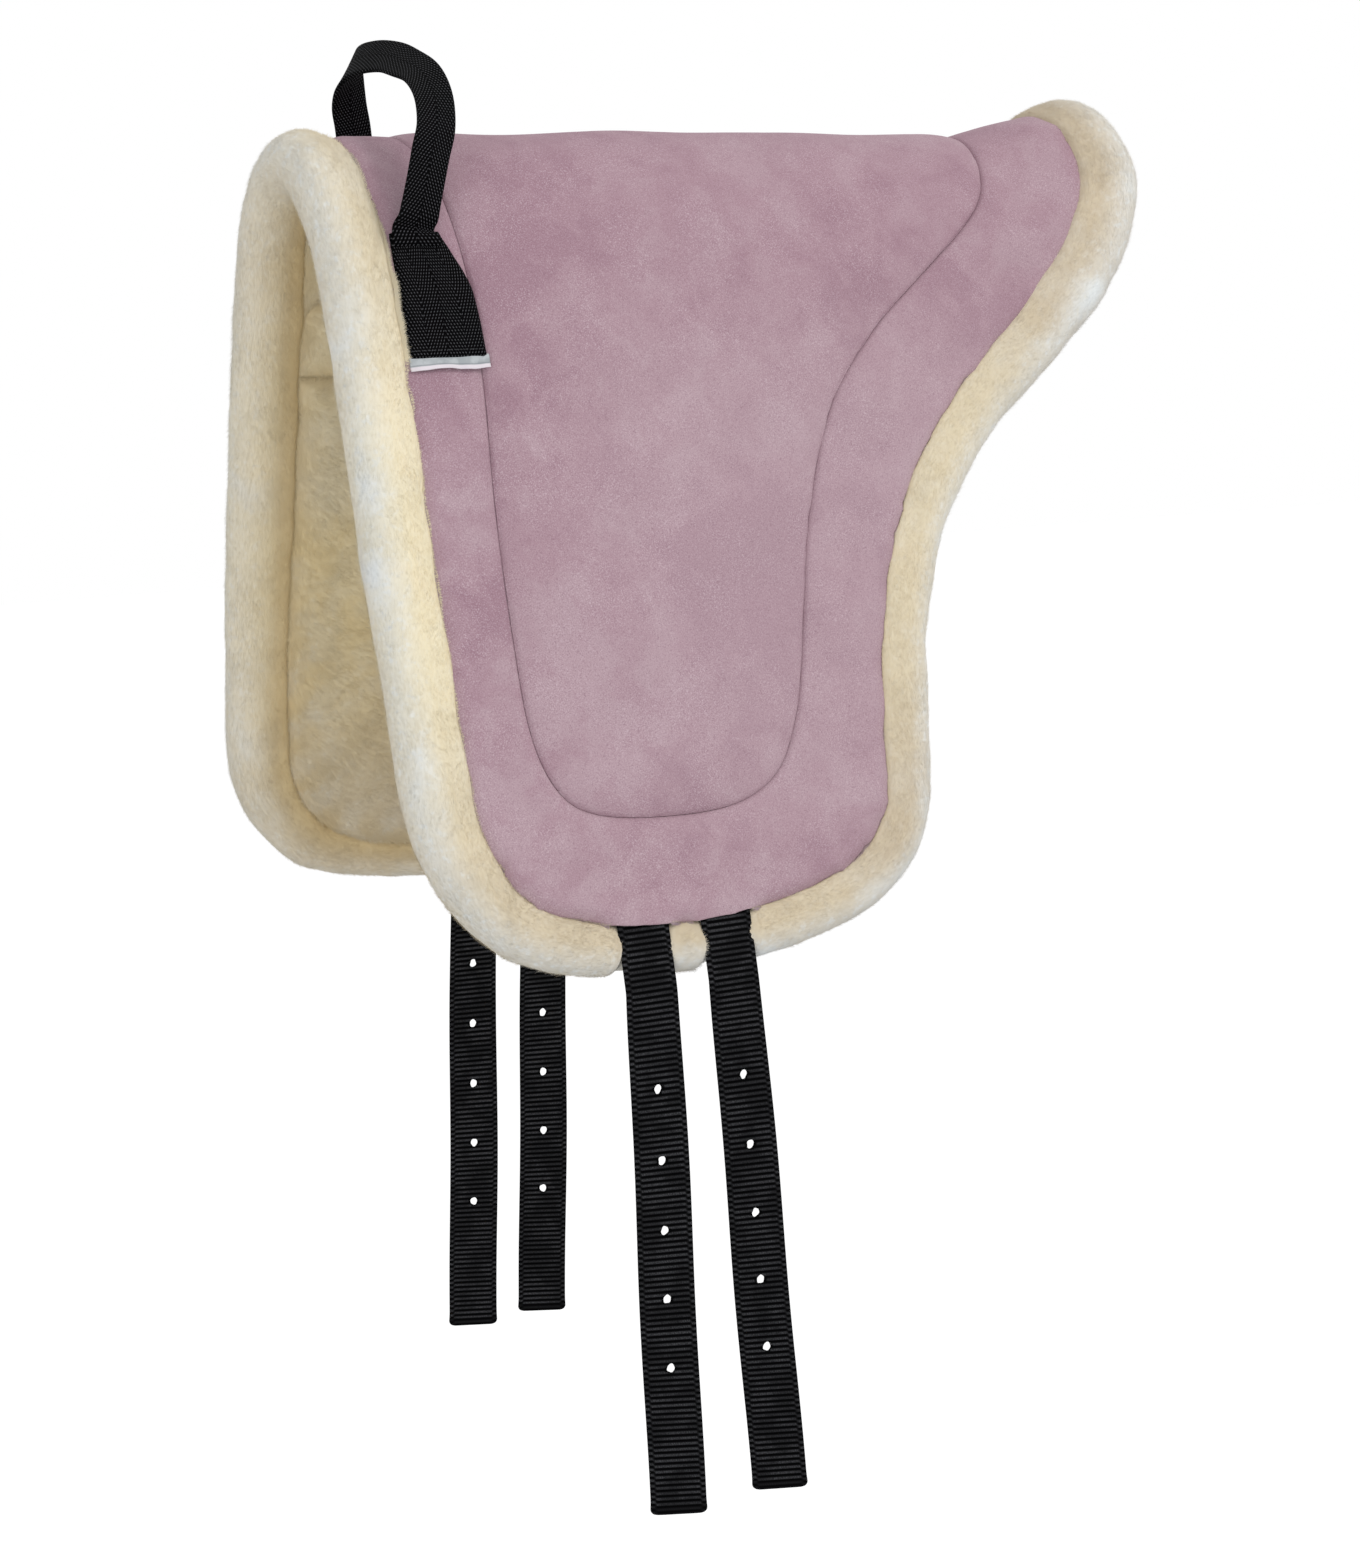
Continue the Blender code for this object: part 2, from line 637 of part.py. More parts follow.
def strap(place_name, x, sign, lean, border_foam):
    hinge = Vector(place(x, sign * strap_hinge_drop, strap_height))
    top_drop = flap_drop - roll_radius - strap_tuck
    root_length = strap_hinge_drop - strap_thickness / 2 - strap_clearance - top_drop
    frame = flap_frame(x, top_drop, strap_height, sign)
    plate("strap_root_" + place_name, (strap_width, strap_thickness, root_length), frame, parts,
          webbing_ribbed)
    pocket_depth = strap_thickness + 2 * seat_height
    pocket_height = strap_height - strap_thickness / 2 - gap + pocket_depth / 2
    pocket = plate("pocket_" + place_name, (strap_width + 2 * gap, pocket_depth, root_length),
                   flap_frame(x, top_drop - gap, pocket_height, sign), cutters)
    cut(border_foam, pocket)
    pivot = bpy.data.objects.new("pivot_" + place_name, None)
    pivot.location = hinge
    parts.objects.link(pivot)
    name = "girth_strap_" + place_name
    extra = right_strap_extra if sign > 0 else 0
    girth = bpy.data.objects.new(name, girth_mesh(name, strap_length + extra, lean))
    girth.parent = pivot
    parts.objects.link(girth)
    turned = Matrix.Rotation(math.radians(90), 4, "X")
    for i in range(hole_count):
        down = first_hole + extra + i * hole_pitch
        centre = Matrix.Translation((down * math.tan(lean), 0, -down))
        mesh = bpy.data.meshes.new("hole")
        shape = bmesh.new()
        bmesh.ops.create_cone(shape, cap_ends=True, segments=12, radius1=hole_diameter / 2,
                              radius2=hole_diameter / 2, depth=3 * strap_thickness)
        bmesh.ops.transform(shape, verts=shape.verts, matrix=centre @ turned)
        shape.to_mesh(mesh)
        shape.free()
        hole = bpy.data.objects.new("hole_%s_%d" % (place_name, i + 1), mesh)
        hole.parent = pivot
        cutters.objects.link(hole)
        cut(girth, hole)


# Handle

def strip(name, rows, thickness, offset, strip_material):
    made = sheet(name, rows, grid_faces(*rows.shape[:2]), thickness, offset, strip_material)
    return sharp_edged(made)


def anchor(side, sign):
    # The flat end of the webbing, which narrows towards the crease where the grip leaves it.
    inner = [drop for drop in drops if anchor_top_drop + gap < drop < anchor_bottom_drop - gap]
    at = numpy.array([anchor_top_drop] + inner + [anchor_bottom_drop])
    ups, widths = numpy.array(anchor_shares).T
    width = webbing_width * numpy.interp((anchor_bottom_drop - at) / anchor_length, ups, widths)
    x = anchor_front + width[:, None] * numpy.array((0, 0.5, 1))
    drop = numpy.broadcast_to(at[:, None], x.shape) * sign
    rows = place(x, drop, border_height + sewn_gap)
    strip("handle_anchor_" + side, rows, webbing_thickness, 1, webbing_twill)


def label():
    top = anchor_bottom_drop + sewn_gap
    x = anchor_front + webbing_width * numpy.array(((0, 0.5, 1), (0, 0.5, 1)))
    drop = numpy.array(((top,) * 3, (top + label_height,) * 3))
    rows = place(x, -drop, border_height + sewn_gap)
    strip("label_tab", rows, label_thickness, 1, label_grey)


def grip_rows():
    # The folded webbing: its rounded lower ends turn on the hinge, and it twists over the top.
    lug = grip_width / 2
    outside = border_height + 2 * sewn_gap + webbing_thickness
    seat_point = place(grip_hinge_x, grip_hinge_drop + lug, outside)
    half_span = seat_point[1] + grip_thickness / 2
    hinge_up = place(grip_hinge_x, grip_hinge_drop, outside)[2]
    path = smooth(grip_shares, grip_steps, numpy.array([0, 1, -1, 1]))
    twist = path[:, 3] * grip_twist
    path = path[:, :3] * (grip_lean, half_span, grip_rise) + (grip_hinge_x, 0, hinge_up)
    along = numpy.gradient(path, axis=0)
    along = along / numpy.linalg.norm(along, axis=1)[:, None]
    outwards = numpy.stack([0 * twist, -along[:, 2], along[:, 1]], -1)
    outwards = outwards / numpy.linalg.norm(outwards, axis=1)[:, None]
    forwards = numpy.array((1, 0, 0))
    across = numpy.cos(twist)[:, None] * forwards + numpy.sin(twist)[:, None] * outwards
    rows = path[:, None] + across[:, None] * (grip_width * numpy.array((-0.5, 0, 0.5)))[:, None]
    turns = numpy.radians((75, 50, 25))
    ends = []
    for sign in (-1, 1):
        end = []
        for turn in turns:
            centre = numpy.array((grip_hinge_x, sign * half_span, hinge_up - lug * math.sin(turn)))
            half = numpy.array((lug * math.cos(turn), 0, 0))
            end.append((centre - half, centre, centre + half))
        ends.append(numpy.array(end))
    return numpy.concatenate([ends[0], rows, ends[1][::-1]]), half_span, hinge_up


def grip():
    rows, half_span, hinge_up = grip_rows()
    pivot = bpy.data.objects.new("pivot_handle", None)
    pivot.location = (grip_hinge_x, 0, hinge_up)
    parts.objects.link(pivot)
    made = strip("handle_grip", rows - numpy.array(pivot.location), grip_thickness, 0, webbing_twill)
    made.parent = pivot


seat()
foam = border()
linings()
rolls()
strap("front_left", left_front_x, -1, left_front_lean, foam)
strap("rear_left", left_rear_x, -1, left_rear_lean, foam)
strap("front_right", right_front_x, 1, right_front_lean, foam)
strap("rear_right", right_rear_x, 1, right_rear_lean, foam)
for side_name, side_sign in (("left", -1), ("right", 1)):
    anchor(side_name, side_sign)
label()
grip()
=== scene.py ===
import math
import bmesh
import bpy
import numpy as np
from mathutils import Matrix, Vector


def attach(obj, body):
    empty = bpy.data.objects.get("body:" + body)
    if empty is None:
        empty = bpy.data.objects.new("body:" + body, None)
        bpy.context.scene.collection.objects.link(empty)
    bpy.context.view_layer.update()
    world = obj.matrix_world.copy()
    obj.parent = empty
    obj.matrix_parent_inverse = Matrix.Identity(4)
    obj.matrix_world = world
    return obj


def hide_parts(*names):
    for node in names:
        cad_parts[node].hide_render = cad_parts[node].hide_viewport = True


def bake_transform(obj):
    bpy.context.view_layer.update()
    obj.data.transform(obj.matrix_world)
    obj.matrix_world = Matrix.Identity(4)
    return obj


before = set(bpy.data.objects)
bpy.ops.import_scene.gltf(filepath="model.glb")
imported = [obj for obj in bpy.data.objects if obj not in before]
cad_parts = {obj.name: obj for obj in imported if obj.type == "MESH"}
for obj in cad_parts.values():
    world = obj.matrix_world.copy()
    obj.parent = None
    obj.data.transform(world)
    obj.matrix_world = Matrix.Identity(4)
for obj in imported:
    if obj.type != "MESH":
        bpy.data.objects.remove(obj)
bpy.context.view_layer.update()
print("frame loaded:", len(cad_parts), "nodes")

# The pad's own coordinates: x runs from front to tail, drop is the way down the cloth from the
# spine (negative on the left) and height stands square to the pad's middle surface.
pad = {
    "flapAngle": math.radians(76), "spineCurl": 0.0652, "longestDrop": 0.95,
    "tailLength": 0.098, "tailBend": 0.012, "tailSlope": 0.2,
    "frontReach": 0.270, "edgeLength": 0.564, "flapDrop": 0.521, "rollRadius": 0.0215,
    "frontInset": 0.058, "rearInset": 0.091, "lowerInset": 0.079, "liftedBy": 0.018,
    "levelDrop": 0.300, "curveSteps": 30, "tailFrom": 0.17, "tailRun": 0.08,
}
# share of the edge length, share of the flap drop, share of the roll radius
edgeTable = [
    (0.000, 0.000, 1.00), (0.004, 0.250, 1.00), (0.007, 0.520, 1.00), (0.014, 0.770, 0.97),
    (0.031, 0.875, 0.94), (0.085, 0.955, 0.88), (0.178, 0.991, 0.80), (0.301, 1.000, 0.79),
    (0.425, 0.986, 0.81), (0.524, 0.948, 0.88), (0.577, 0.881, 0.95), (0.593, 0.769, 1.00),
    (0.610, 0.654, 1.00), (0.636, 0.564, 1.00), (0.675, 0.483, 1.00), (0.735, 0.403, 1.01),
    (0.801, 0.341, 1.02), (0.873, 0.285, 1.03), (0.937, 0.229, 1.05), (0.985, 0.158, 1.05),
    (0.998, 0.088, 1.02), (1.000, 0.000, 1.02),
]
edgeCorners = (5, 9)  # rows where the flap's lower corners begin
bottomShare = 0.79  # the radius share at the lowest row
# share of the seat length, share of the seat drop
seamTable = [
    (0.000, 0.000), (0.016, 0.115), (0.031, 0.248), (0.030, 0.400), (0.022, 0.560),
    (0.022, 0.730), (0.030, 0.868), (0.062, 0.950), (0.122, 0.987), (0.243, 1.000),
    (0.352, 0.993), (0.426, 0.957), (0.468, 0.890), (0.492, 0.815), (0.511, 0.729),
    (0.545, 0.591), (0.612, 0.438), (0.708, 0.334), (0.800, 0.264), (0.906, 0.190),
    (0.961, 0.140), (0.988, 0.079), (1.000, 0.000),
]
seamCorners = (7, 11)


def makeProfile():
    # the flap's slope grows with the drop as a hyperbolic tangent; across and down are its sums
    drops = np.linspace(0, pad["longestDrop"], 1901)
    slope = pad["flapAngle"] * np.tanh(drops / pad["spineCurl"])
    half = drops[1] / 2
    across = np.concatenate([[0], np.cumsum(np.cos(slope[1:]) + np.cos(slope[:-1]))]) * half
    down = np.concatenate([[0], np.cumsum(np.sin(slope[1:]) + np.sin(slope[:-1]))]) * half
    return drops, slope, across, down


dropTable, slopeTable, acrossTable, downTable = makeProfile()


def padPoint(x, drop, height):
    # the middle surface's point at (x, drop), moved by height along its normal; the tail curls up
    x, drop, height = np.broadcast_arrays(x, drop, height)
    away = np.abs(drop)
    slope = np.interp(away, dropTable, slopeTable)
    across = np.interp(away, dropTable, acrossTable) + height * np.sin(slope)
    up = height * np.cos(slope) - np.interp(away, dropTable, downTable)
    past = (x - (pad["edgeLength"] - pad["frontReach"] - pad["tailLength"])) / pad["tailBend"]
    rise = pad["tailSlope"] * pad["tailBend"] * np.log1p(np.exp(past))
    return np.stack([x, np.sign(drop) * across, up + pad["liftedBy"] + rise], -1)


def unit(vectors):
    return vectors / np.maximum(np.linalg.norm(vectors, axis=-1), 1e-9)[..., None]


def squareTo(vectors, axis):
    # unit vectors of what is left when the part along the axis is taken away
    return unit(vectors - (vectors * axis).sum(-1)[..., None] * axis)


def onPad(flat, height):
    return padPoint(flat[..., 0], flat[..., 1], height)


def padUpright(flat):
    # the middle surface's normal, 1 mm long
    return onPad(flat, 0.001) - onPad(flat, 0)


def clamped(values):
    return np.clip(values, 0, 1)


def smoothRows(rows, steps, mirror):
    # Catmull-Rom curve through the rows, whose ends run on as their mirror images
    rows = np.array(rows, float)
    rows = np.vstack([rows[1] * mirror, rows, rows[-2] * mirror])
    a, b, c, d = (rows[i:len(rows) - 3 + i, None] for i in range(4))
    t = (np.arange(steps) / steps)[None, :, None]
    curve = b + ((c - a) * t + (2 * a - 5 * b + 4 * c - d) * t ** 2
                 + (3 * b - a - 3 * c + d) * t ** 3) / 2
    return np.vstack([curve.reshape(-1, rows.shape[1]), rows[-2:-1]])


edgeCurve = smoothRows(edgeTable, pad["curveSteps"], np.array([1, -1, 1]))
edgePath = edgeCurve[:, :2] * (pad["edgeLength"], pad["flapDrop"]) - (pad["frontReach"], 0)
edgeRadius = edgeCurve[:, 2] * pad["rollRadius"]
seatLength = pad["edgeLength"] - pad["frontInset"] - pad["rearInset"]
seatDrop = pad["flapDrop"] - pad["lowerInset"]
seamPath = smoothRows(seamTable, pad["curveSteps"], np.array([1, -1])) * (seatLength, seatDrop)
seamPath = seamPath + (pad["frontInset"] - pad["frontReach"], 0)


def inset(path, distance):
    # each point moved along the path's inward normal, with both ends kept on the spine
    along = unit(np.gradient(path, axis=0))
    moved = path + np.stack([along[:, 1], -along[:, 0]], -1) * np.reshape(distance, (-1, 1))
    moved[[0, -1], 1] = 0
    return moved


def wayAlong(points):
    return np.concatenate([[0], np.cumsum(np.linalg.norm(np.diff(points, axis=0), axis=1))])


def pathAt(places, way, path):
    # points of the path at places on the way along it
    return np.stack([np.interp(places, way, column) for column in path.T], -1)


def spread(path, shares):
    # points of the path at the shares of its length
    way = wayAlong(path)
    return pathAt(shares * way[-1], way, path)


def nearest(points, path):
    # least distance from each point to the path, and that place's number on the path, with both
    # halves of the pad laid on one; in slices to save memory
    path, flat = (np.stack([p[..., 0], np.abs(p[..., 1])], -1).reshape(-1, 2)
                  for p in (path, points))
    squares = [((part[:, None] - path) ** 2).sum(-1) for part in np.array_split(flat, 40)]
    least = np.sqrt(np.concatenate([part.min(1) for part in squares]))
    place = np.concatenate([part.argmin(1) for part in squares])
    return least.reshape(points.shape[:-1]), place.reshape(points.shape[:-1])


def smoothed(values, width):
    # each column averaged over that many rows with a bell's weights
    bell = np.hanning(width) / np.hanning(width).sum()
    ends = [(width // 2, width // 2)] + [(0, 0)] * (values.ndim - 1)
    return np.apply_along_axis(np.convolve, 0, np.pad(values, ends, "edge"), bell, "valid")


def waves(points, size, seed, count=10):
    # smooth noise of about unit strength: a sum of sines in seeded directions, about size apart
    rng = np.random.default_rng(seed)
    ways = unit(rng.normal(size=(count, points.shape[-1]))) * rng.uniform(0.6, 1.5, (count, 1))
    turns = points @ ways.T * (2 * np.pi / size) + rng.uniform(0, 2 * np.pi, count)
    return np.sin(turns).sum(-1) * math.sqrt(2 / count)


def threeWaves(points, size, seed):
    return np.stack([waves(points, size, seed + k) for k in range(3)], -1)


grid = {"endSteps": np.array([0, 0.25, 0.6, 1.0, 1.6, 2.6, 4.0, 6.2, 9.2, 13.0]) * 0.001,
        "typicalWidth": 0.40, "columns": 72, "rows": 62, "cornerRows": 34}


def edgedShares(count):
    # shares from 0 to 1 that lie close together at both ends
    ends = grid["endSteps"] / grid["typicalWidth"]
    return np.concatenate([ends[:-1], np.linspace(ends[-1], 1 - ends[-1], count), 1 - ends[-2::-1]])


columnShares = edgedShares(grid["columns"])
cornerShares = 1 - (1 - np.linspace(0, 1, grid["cornerRows"])) ** 1.7


def sideEdges(path, corners, columns, drops):
    # one side of an outline: rows down its front and rear edges, its corner curves and its bottom
    first, last = (corner * pad["curveSteps"] for corner in corners)
    rows, lower = [], []
    for edge in (path[:first + 1], path[last:][::-1]):
        rows.append(np.stack([np.interp(drops, edge[:, 1], edge[:, 0]), drops], -1))
        rest = edge[edge[:, 1] > drops[-1]]
        lower.append(spread(np.vstack([rows[-1][-1:], rest]), cornerShares))
    return *rows, *lower, spread(path[first:last + 1], columns)


def sideGrid(edges, columns):
    # a Coons patch between the edges: straight rows above, rows that bend to the bottom below
    frontRows, rearRows, lowerFront, lowerRear, bottom = edges
    u = columns[None, :, None]
    w = cornerShares[:, None, None]
    upper = (1 - u) * frontRows[:, None] + u * rearRows[:, None]
    ends = (1 - u) * lowerFront[:, None] + u * lowerRear[:, None]
    tops = (1 - w) * upper[-1][None] + w * bottom[None]
    corners = (1 - w) * upper[-1][None] + w * ((1 - u) * bottom[0] + u * bottom[-1])
    return np.concatenate([upper, (ends + tops - corners)[1:]])


def sideLoop(edges):
    frontRows, rearRows, lowerFront, lowerRear, bottom = edges
    return np.concatenate([frontRows, lowerFront[1:], bottom[1:-1], lowerRear[:0:-1],
                           rearRows[::-1]])


def bothSides(half):
    return np.concatenate([half[:0:-1] * (1, -1), half])


def cellFaces(rows, columns, closedRows=False, closedColumns=False):
    # corner numbers of the grid's cells, which may close on themselves either way
    index = np.arange(rows * columns).reshape(rows, columns)
    if closedRows:
        index = np.vstack([index, index[:1]])
    if closedColumns:
        index = np.hstack([index, index[:, :1]])
    return np.stack([index[:-1, :-1], index[:-1, 1:], index[1:, 1:], index[1:, :-1]],
                    -1).reshape(-1, 4)


def addObject(name, data):
    made = bpy.data.objects.new(name, data)
    bpy.context.scene.collection.objects.link(made)
    return made


def addData(mesh, maps, fields=None):
    # uv maps, and numbers for the shaders, from one place or value for each point
    corner = np.empty(len(mesh.loops), np.int32)
    mesh.loops.foreach_get("vertex_index", corner)
    for key, uv in (maps or {}).items():
        layer = mesh.uv_layers.new(name=key)
        layer.data.foreach_set("uv", uv.reshape(-1, 2)[corner].astype(np.float32).ravel())
    for key, values in (fields or {}).items():
        field = mesh.attributes.new(key, "FLOAT", "POINT")
        field.data.foreach_set("value", np.ravel(values).astype(np.float32))


def makeObject(name, points, faces, maps=None, fields=None, merge=0.0):
    # one mesh object at the origin from arrays of points and faces, with its normals made outward
    mesh = bpy.data.meshes.new(name)
    mesh.from_pydata(points.reshape(-1, 3), [], faces)
    addData(mesh, maps, fields)
    shape = bmesh.new()
    shape.from_mesh(mesh)
    if merge:
        bmesh.ops.remove_doubles(shape, verts=shape.verts, dist=merge)
        bmesh.ops.dissolve_degenerate(shape, edges=shape.edges, dist=merge / 2)
    bmesh.ops.recalc_face_normals(shape, faces=shape.faces)
    shape.to_mesh(mesh)
    shape.free()
    mesh.shade_smooth()
    return addObject(name, mesh)


def slab(name, top, bottom, faces, fields=None):
    # a closed solid between two like grids: both skins, and a wall round the open edges
    count = top.reshape(-1, 3).shape[0]
    edges = np.concatenate([faces[:, [i, (i + 1) % 4]] for i in range(4)])
    keys = edges[:, 0].astype(np.int64) * count + edges[:, 1]
    back = edges[:, 1].astype(np.int64) * count + edges[:, 0]
    rim = edges[~np.isin(keys, back)]
    walls = np.stack([rim[:, 1], rim[:, 0], rim[:, 0] + count, rim[:, 1] + count], -1)
    every = np.concatenate([faces, faces[:, ::-1] + count, walls])
    both = {key: np.tile(np.ravel(values), 2) for key, values in (fields or {}).items()}
    return makeObject(name, np.concatenate([top.reshape(-1, 3), bottom.reshape(-1, 3)]), every,
                      fields=both)


# Materials

class Flow:
    # a socket of a node tree, whose operators add Math nodes behind it
    def __init__(self, nodes, socket):
        self.nodes, self.socket = nodes, socket

    def maths(self, operation, other=0.0, swap=False):
        first, second = (other, self) if swap else (self, other)
        return self.nodes.node("ShaderNodeMath", {"operation": operation}, {0: first, 1: second})

    def __add__(self, other): return self.maths("ADD", other)
    def __sub__(self, other): return self.maths("SUBTRACT", other)
    def __rsub__(self, other): return self.maths("SUBTRACT", other, True)
    def __mul__(self, other): return self.maths("MULTIPLY", other)
    __radd__, __rmul__ = __add__, __mul__


class Nodes:
    # adds nodes to a tree, with plain values or Flow expressions in their sockets
    def __init__(self, tree):
        self.tree = tree

    def put(self, socket, value):
        if isinstance(value, Flow):
            self.tree.links.new(value.socket, socket)
        elif socket.type == "RGBA" and len(value) == 3:
            socket.default_value = (*value, 1)
        else:
            socket.default_value = value

    def node(self, kind, settings=None, inputs=None, output=0):
        made = self.tree.nodes.new(kind)
        for key, value in (settings or {}).items():
            setattr(made, key, value)
        for key, value in (inputs or {}).items():
            self.put(made.inputs[key], value)
        return Flow(self, made.outputs[output]) if made.outputs else None


class Finish(Nodes):
    # a Principled material built from plain values and Flow expressions
    def __init__(self, name, fixed):
        self.material = bpy.data.materials.new(name)
        self.material.use_nodes = True
        super().__init__(self.material.node_tree)
        self.shader = self.tree.nodes["Principled BSDF"]
        for socket, value in fixed.items():
            self.put(self.shader.inputs[socket], value)
        self.where = self.node("ShaderNodeTexCoord", output="Object")

    def field(self, name):
        return self.node("ShaderNodeAttribute", {"attribute_name": name}, output="Fac")

    def axis(self, vector, number):
        return self.node("ShaderNodeSeparateXYZ", {}, {"Vector": vector}, number)

    def noise(self, coords, scale, detail=2.0, roughness=0.5, distortion=0.0):
        return self.node("ShaderNodeTexNoise", {"noise_dimensions": "3D"},
                         {"Vector": coords, "Scale": scale, "Detail": detail,
                          "Roughness": roughness, "Distortion": distortion})

    def ramp(self, value, low, high):
        # 0 below low, 1 above high and smooth between them
        return self.node("ShaderNodeMapRange", {"interpolation_type": "SMOOTHSTEP"},
                         {"Value": value, "From Min": low, "From Max": high})

    def mix(self, first, second, factor):
        return self.node("ShaderNodeMix", {"data_type": "RGBA", "clamp_factor": True},
                         {"Factor": factor, 6: first, 7: second}, 2)

    def layers(self, colour, *coats):
        # each coat's colour laid over the ones before it by its share
        for coat, share in coats:
            colour = self.mix(colour, coat, share)
        return colour

    def bump(self, height, strength, distance):
        return self.node("ShaderNodeBump", {},
                         {"Height": height, "Strength": strength, "Distance": distance})

    def finishWith(self, **links):
        names = {"colour": "Base Color", "roughness": "Roughness", "normal": "Normal"}
        for key, flow in links.items():
            self.put(self.shader.inputs[names[key]], flow)
        return self.material


suedeLook = {
    "deep": (0.342, 0.208, 0.252), "middle": (0.402, 0.262, 0.304), "pale": (0.474, 0.344, 0.381),
    "fluff": (0.640, 0.510, 0.560), "hollow": (0.235, 0.138, 0.174),
    "strokeScale": 9.0, "patchScale": 42.0, "speckScale": 1250.0, "grainScale": 2400.0,
    "brushPitch": 0.0023, "sheen": 0.12, "bumpDepth": 0.0006, "flapPaler": 0.45,
    "paintedSpineShade": 0.28, "brushed": 0.10, "fluffShare": 0.62, "hollowShare": 0.60,
}


def suede(name, shift, paler=0.0):
    # brushed nap: two sizes of soft patches with pale and dark specks, paler in the middle of the
    # flaps, with painted shade along the spine, and with faint brushed lines towards the tail
    look = suedeLook
    made = Finish(name, {"Sheen Weight": look["sheen"], "Sheen Roughness": 0.5,
                         "Sheen Tint": (0.95, 0.85, 0.9), "Specular IOR Level": 0.12})
    where = made.node("ShaderNodeMapping", {}, {"Vector": made.where, "Location": shift,
                                                "Rotation": (0.3, 0.5, 0.2)})
    tailward, upward = made.axis(made.where, 0), made.axis(made.where, 2)
    strokes = made.noise(where, look["strokeScale"], 3.0, 0.5, 0.4)
    patches = made.noise(where, look["patchScale"], 3.0, 0.6, 0.5)
    specks = made.noise(where, look["speckScale"], 2.0, 0.7)
    grain = made.noise(where, look["grainScale"], 1.0, 0.5)
    nap = strokes * 0.6 + patches * 0.4
    flap = (made.ramp(upward, -0.03, -0.16) * made.ramp(upward, -0.46, -0.30)
            * made.ramp(tailward, -0.20, -0.06))
    lines = made.node("ShaderNodeTexWave", {"bands_direction": "DIAGONAL"},
                      {"Vector": where, "Scale": 0.314 / look["brushPitch"], "Distortion": 3.0,
                       "Detail": 2.0, "Detail Scale": 0.6})
    brushing = (made.ramp(made.noise(where, 14.0, 1.0), 0.50, 0.62) * lines
                * made.ramp(tailward, 0.13, 0.20) * look["brushed"])
    sparse = made.ramp(made.noise(where, 30.0, 2.0), 0.35, 0.65) * 0.5 + 0.5
    colour = made.layers(
        look["deep"], (look["middle"], made.ramp(nap, 0.39, 0.50) * 0.9 + 0.1),
        (look["pale"], made.ramp(nap, 0.49, 0.60) * 0.60),
        (look["pale"], flap * look["flapPaler"]),
        # painted shade: the deep colour laid along the spine
        (look["deep"], made.ramp(upward, -0.12, 0.0) * look["paintedSpineShade"]),
        (look["fluff"], made.ramp(specks, 0.50, 0.70) * sparse * look["fluffShare"]),
        (look["hollow"], made.ramp(specks, 0.48, 0.27) * look["hollowShare"] + brushing),
        (look["fluff"], paler))
    normal = made.bump(specks * 0.75 + grain * 0.25, 0.50, look["bumpDepth"])
    return made.finishWith(colour=colour, roughness=0.97 - nap * 0.08, normal=normal)


# crease is the colour of painted shade in the creases
plushLook = {
    "crease": (0.780, 0.600, 0.300), "root": (0.822, 0.733, 0.520), "tip": (0.866, 0.787, 0.588),
    "warm": (0.880, 0.770, 0.570), "cool": (0.820, 0.840, 0.835), "shaded": (0.850, 0.710, 0.420),
    "paintedShade": (0.612, 0.518, 0.380), "warmScale": 12.0, "coolScale": 19.0, "patchScale": 34.0,
    "lockScale": 210.0, "sheen": 0.10,
}


def plush(name, yellow, mottled, top):
    # cream pile: yellower at its root, with warm and cool patches; painted shade in the creases, a
    # painted cool highlight on its outermost line, and painted shade towards the tail, the lower
    # edge and, by top, along the spine
    look = plushLook
    made = Finish(name, {"Sheen Weight": look["sheen"], "Sheen Roughness": 0.6,
                         "Specular IOR Level": 0.08, "Roughness": 0.95})
    along, deep, outer = (made.field(key) for key in ("along", "deep", "outer"))
    tailward, upward = made.axis(made.where, 0), made.axis(made.where, 2)
    warm = made.ramp(made.noise(made.where, look["warmScale"], 3.0, 0.55, 0.5), 0.48, 0.72)
    cool = made.ramp(made.noise(made.where, look["coolScale"], 2.0, 0.5, 0.3), 0.50, 0.75)
    patches = made.ramp(made.noise(made.where, look["patchScale"], 3.0, 0.6, 0.6), 0.40, 0.62)
    locks = made.noise(made.where, look["lockScale"], 2.0, 0.6)
    # the shaded colour: in random patches, and on the lining, by yellow, as painted shade; less of
    # it towards the spine, as painted light there
    shaded = (patches * mottled + yellow) * (1 - made.ramp(upward, -0.28, -0.08) * 0.9)
    # painted shade: greyer towards the tail, the lower edge and, by top, along the spine
    paintedShade = (made.ramp(tailward, -0.02, 0.08) * 0.52 + made.ramp(tailward, 0.14, 0.26) * 0.25
               + made.ramp(upward, -0.24, -0.47) * 0.85 + made.ramp(upward, -0.16, -0.02) * top)
    return made.finishWith(colour=made.layers(
        look["root"], (look["tip"], made.ramp(along, 0.0, 0.9)), (look["warm"], warm * 0.40),
        (look["shaded"], shaded), (look["paintedShade"], paintedShade),
        # cool: a painted highlight along the roll's outer side, and on the lining its paler tufts,
        # with random cool patches
        (look["cool"], (cool * 0.4 + 0.6) * outer * 0.9 + cool * 0.15),
        (look["root"], made.ramp(locks, 0.5, 0.8) * 0.20),
        (look["cool"], made.ramp(locks, 0.48, 0.30) * (outer * 0.5 + 0.08)),
        (look["crease"], deep)))


# gap is the colour of painted shade between ribs, yarns and ridges; the two pale colours after it
# are painted highlights on rib and ridge tops
webbingLook = {"yarn": (0.0080, 0.0080, 0.0086), "gap": (0.0006, 0.0006, 0.0008),
               "dust": (0.076, 0.076, 0.082), "paintedRidgeHighlight": (0.160, 0.160, 0.172),
               "twillColumn": 0.0125, "twillAcross": 0.0020, "twillAlong": 0.0040,
               "twillBead": 0.0019, "threadScale": 1500.0, "yarnPitch": 0.0011}


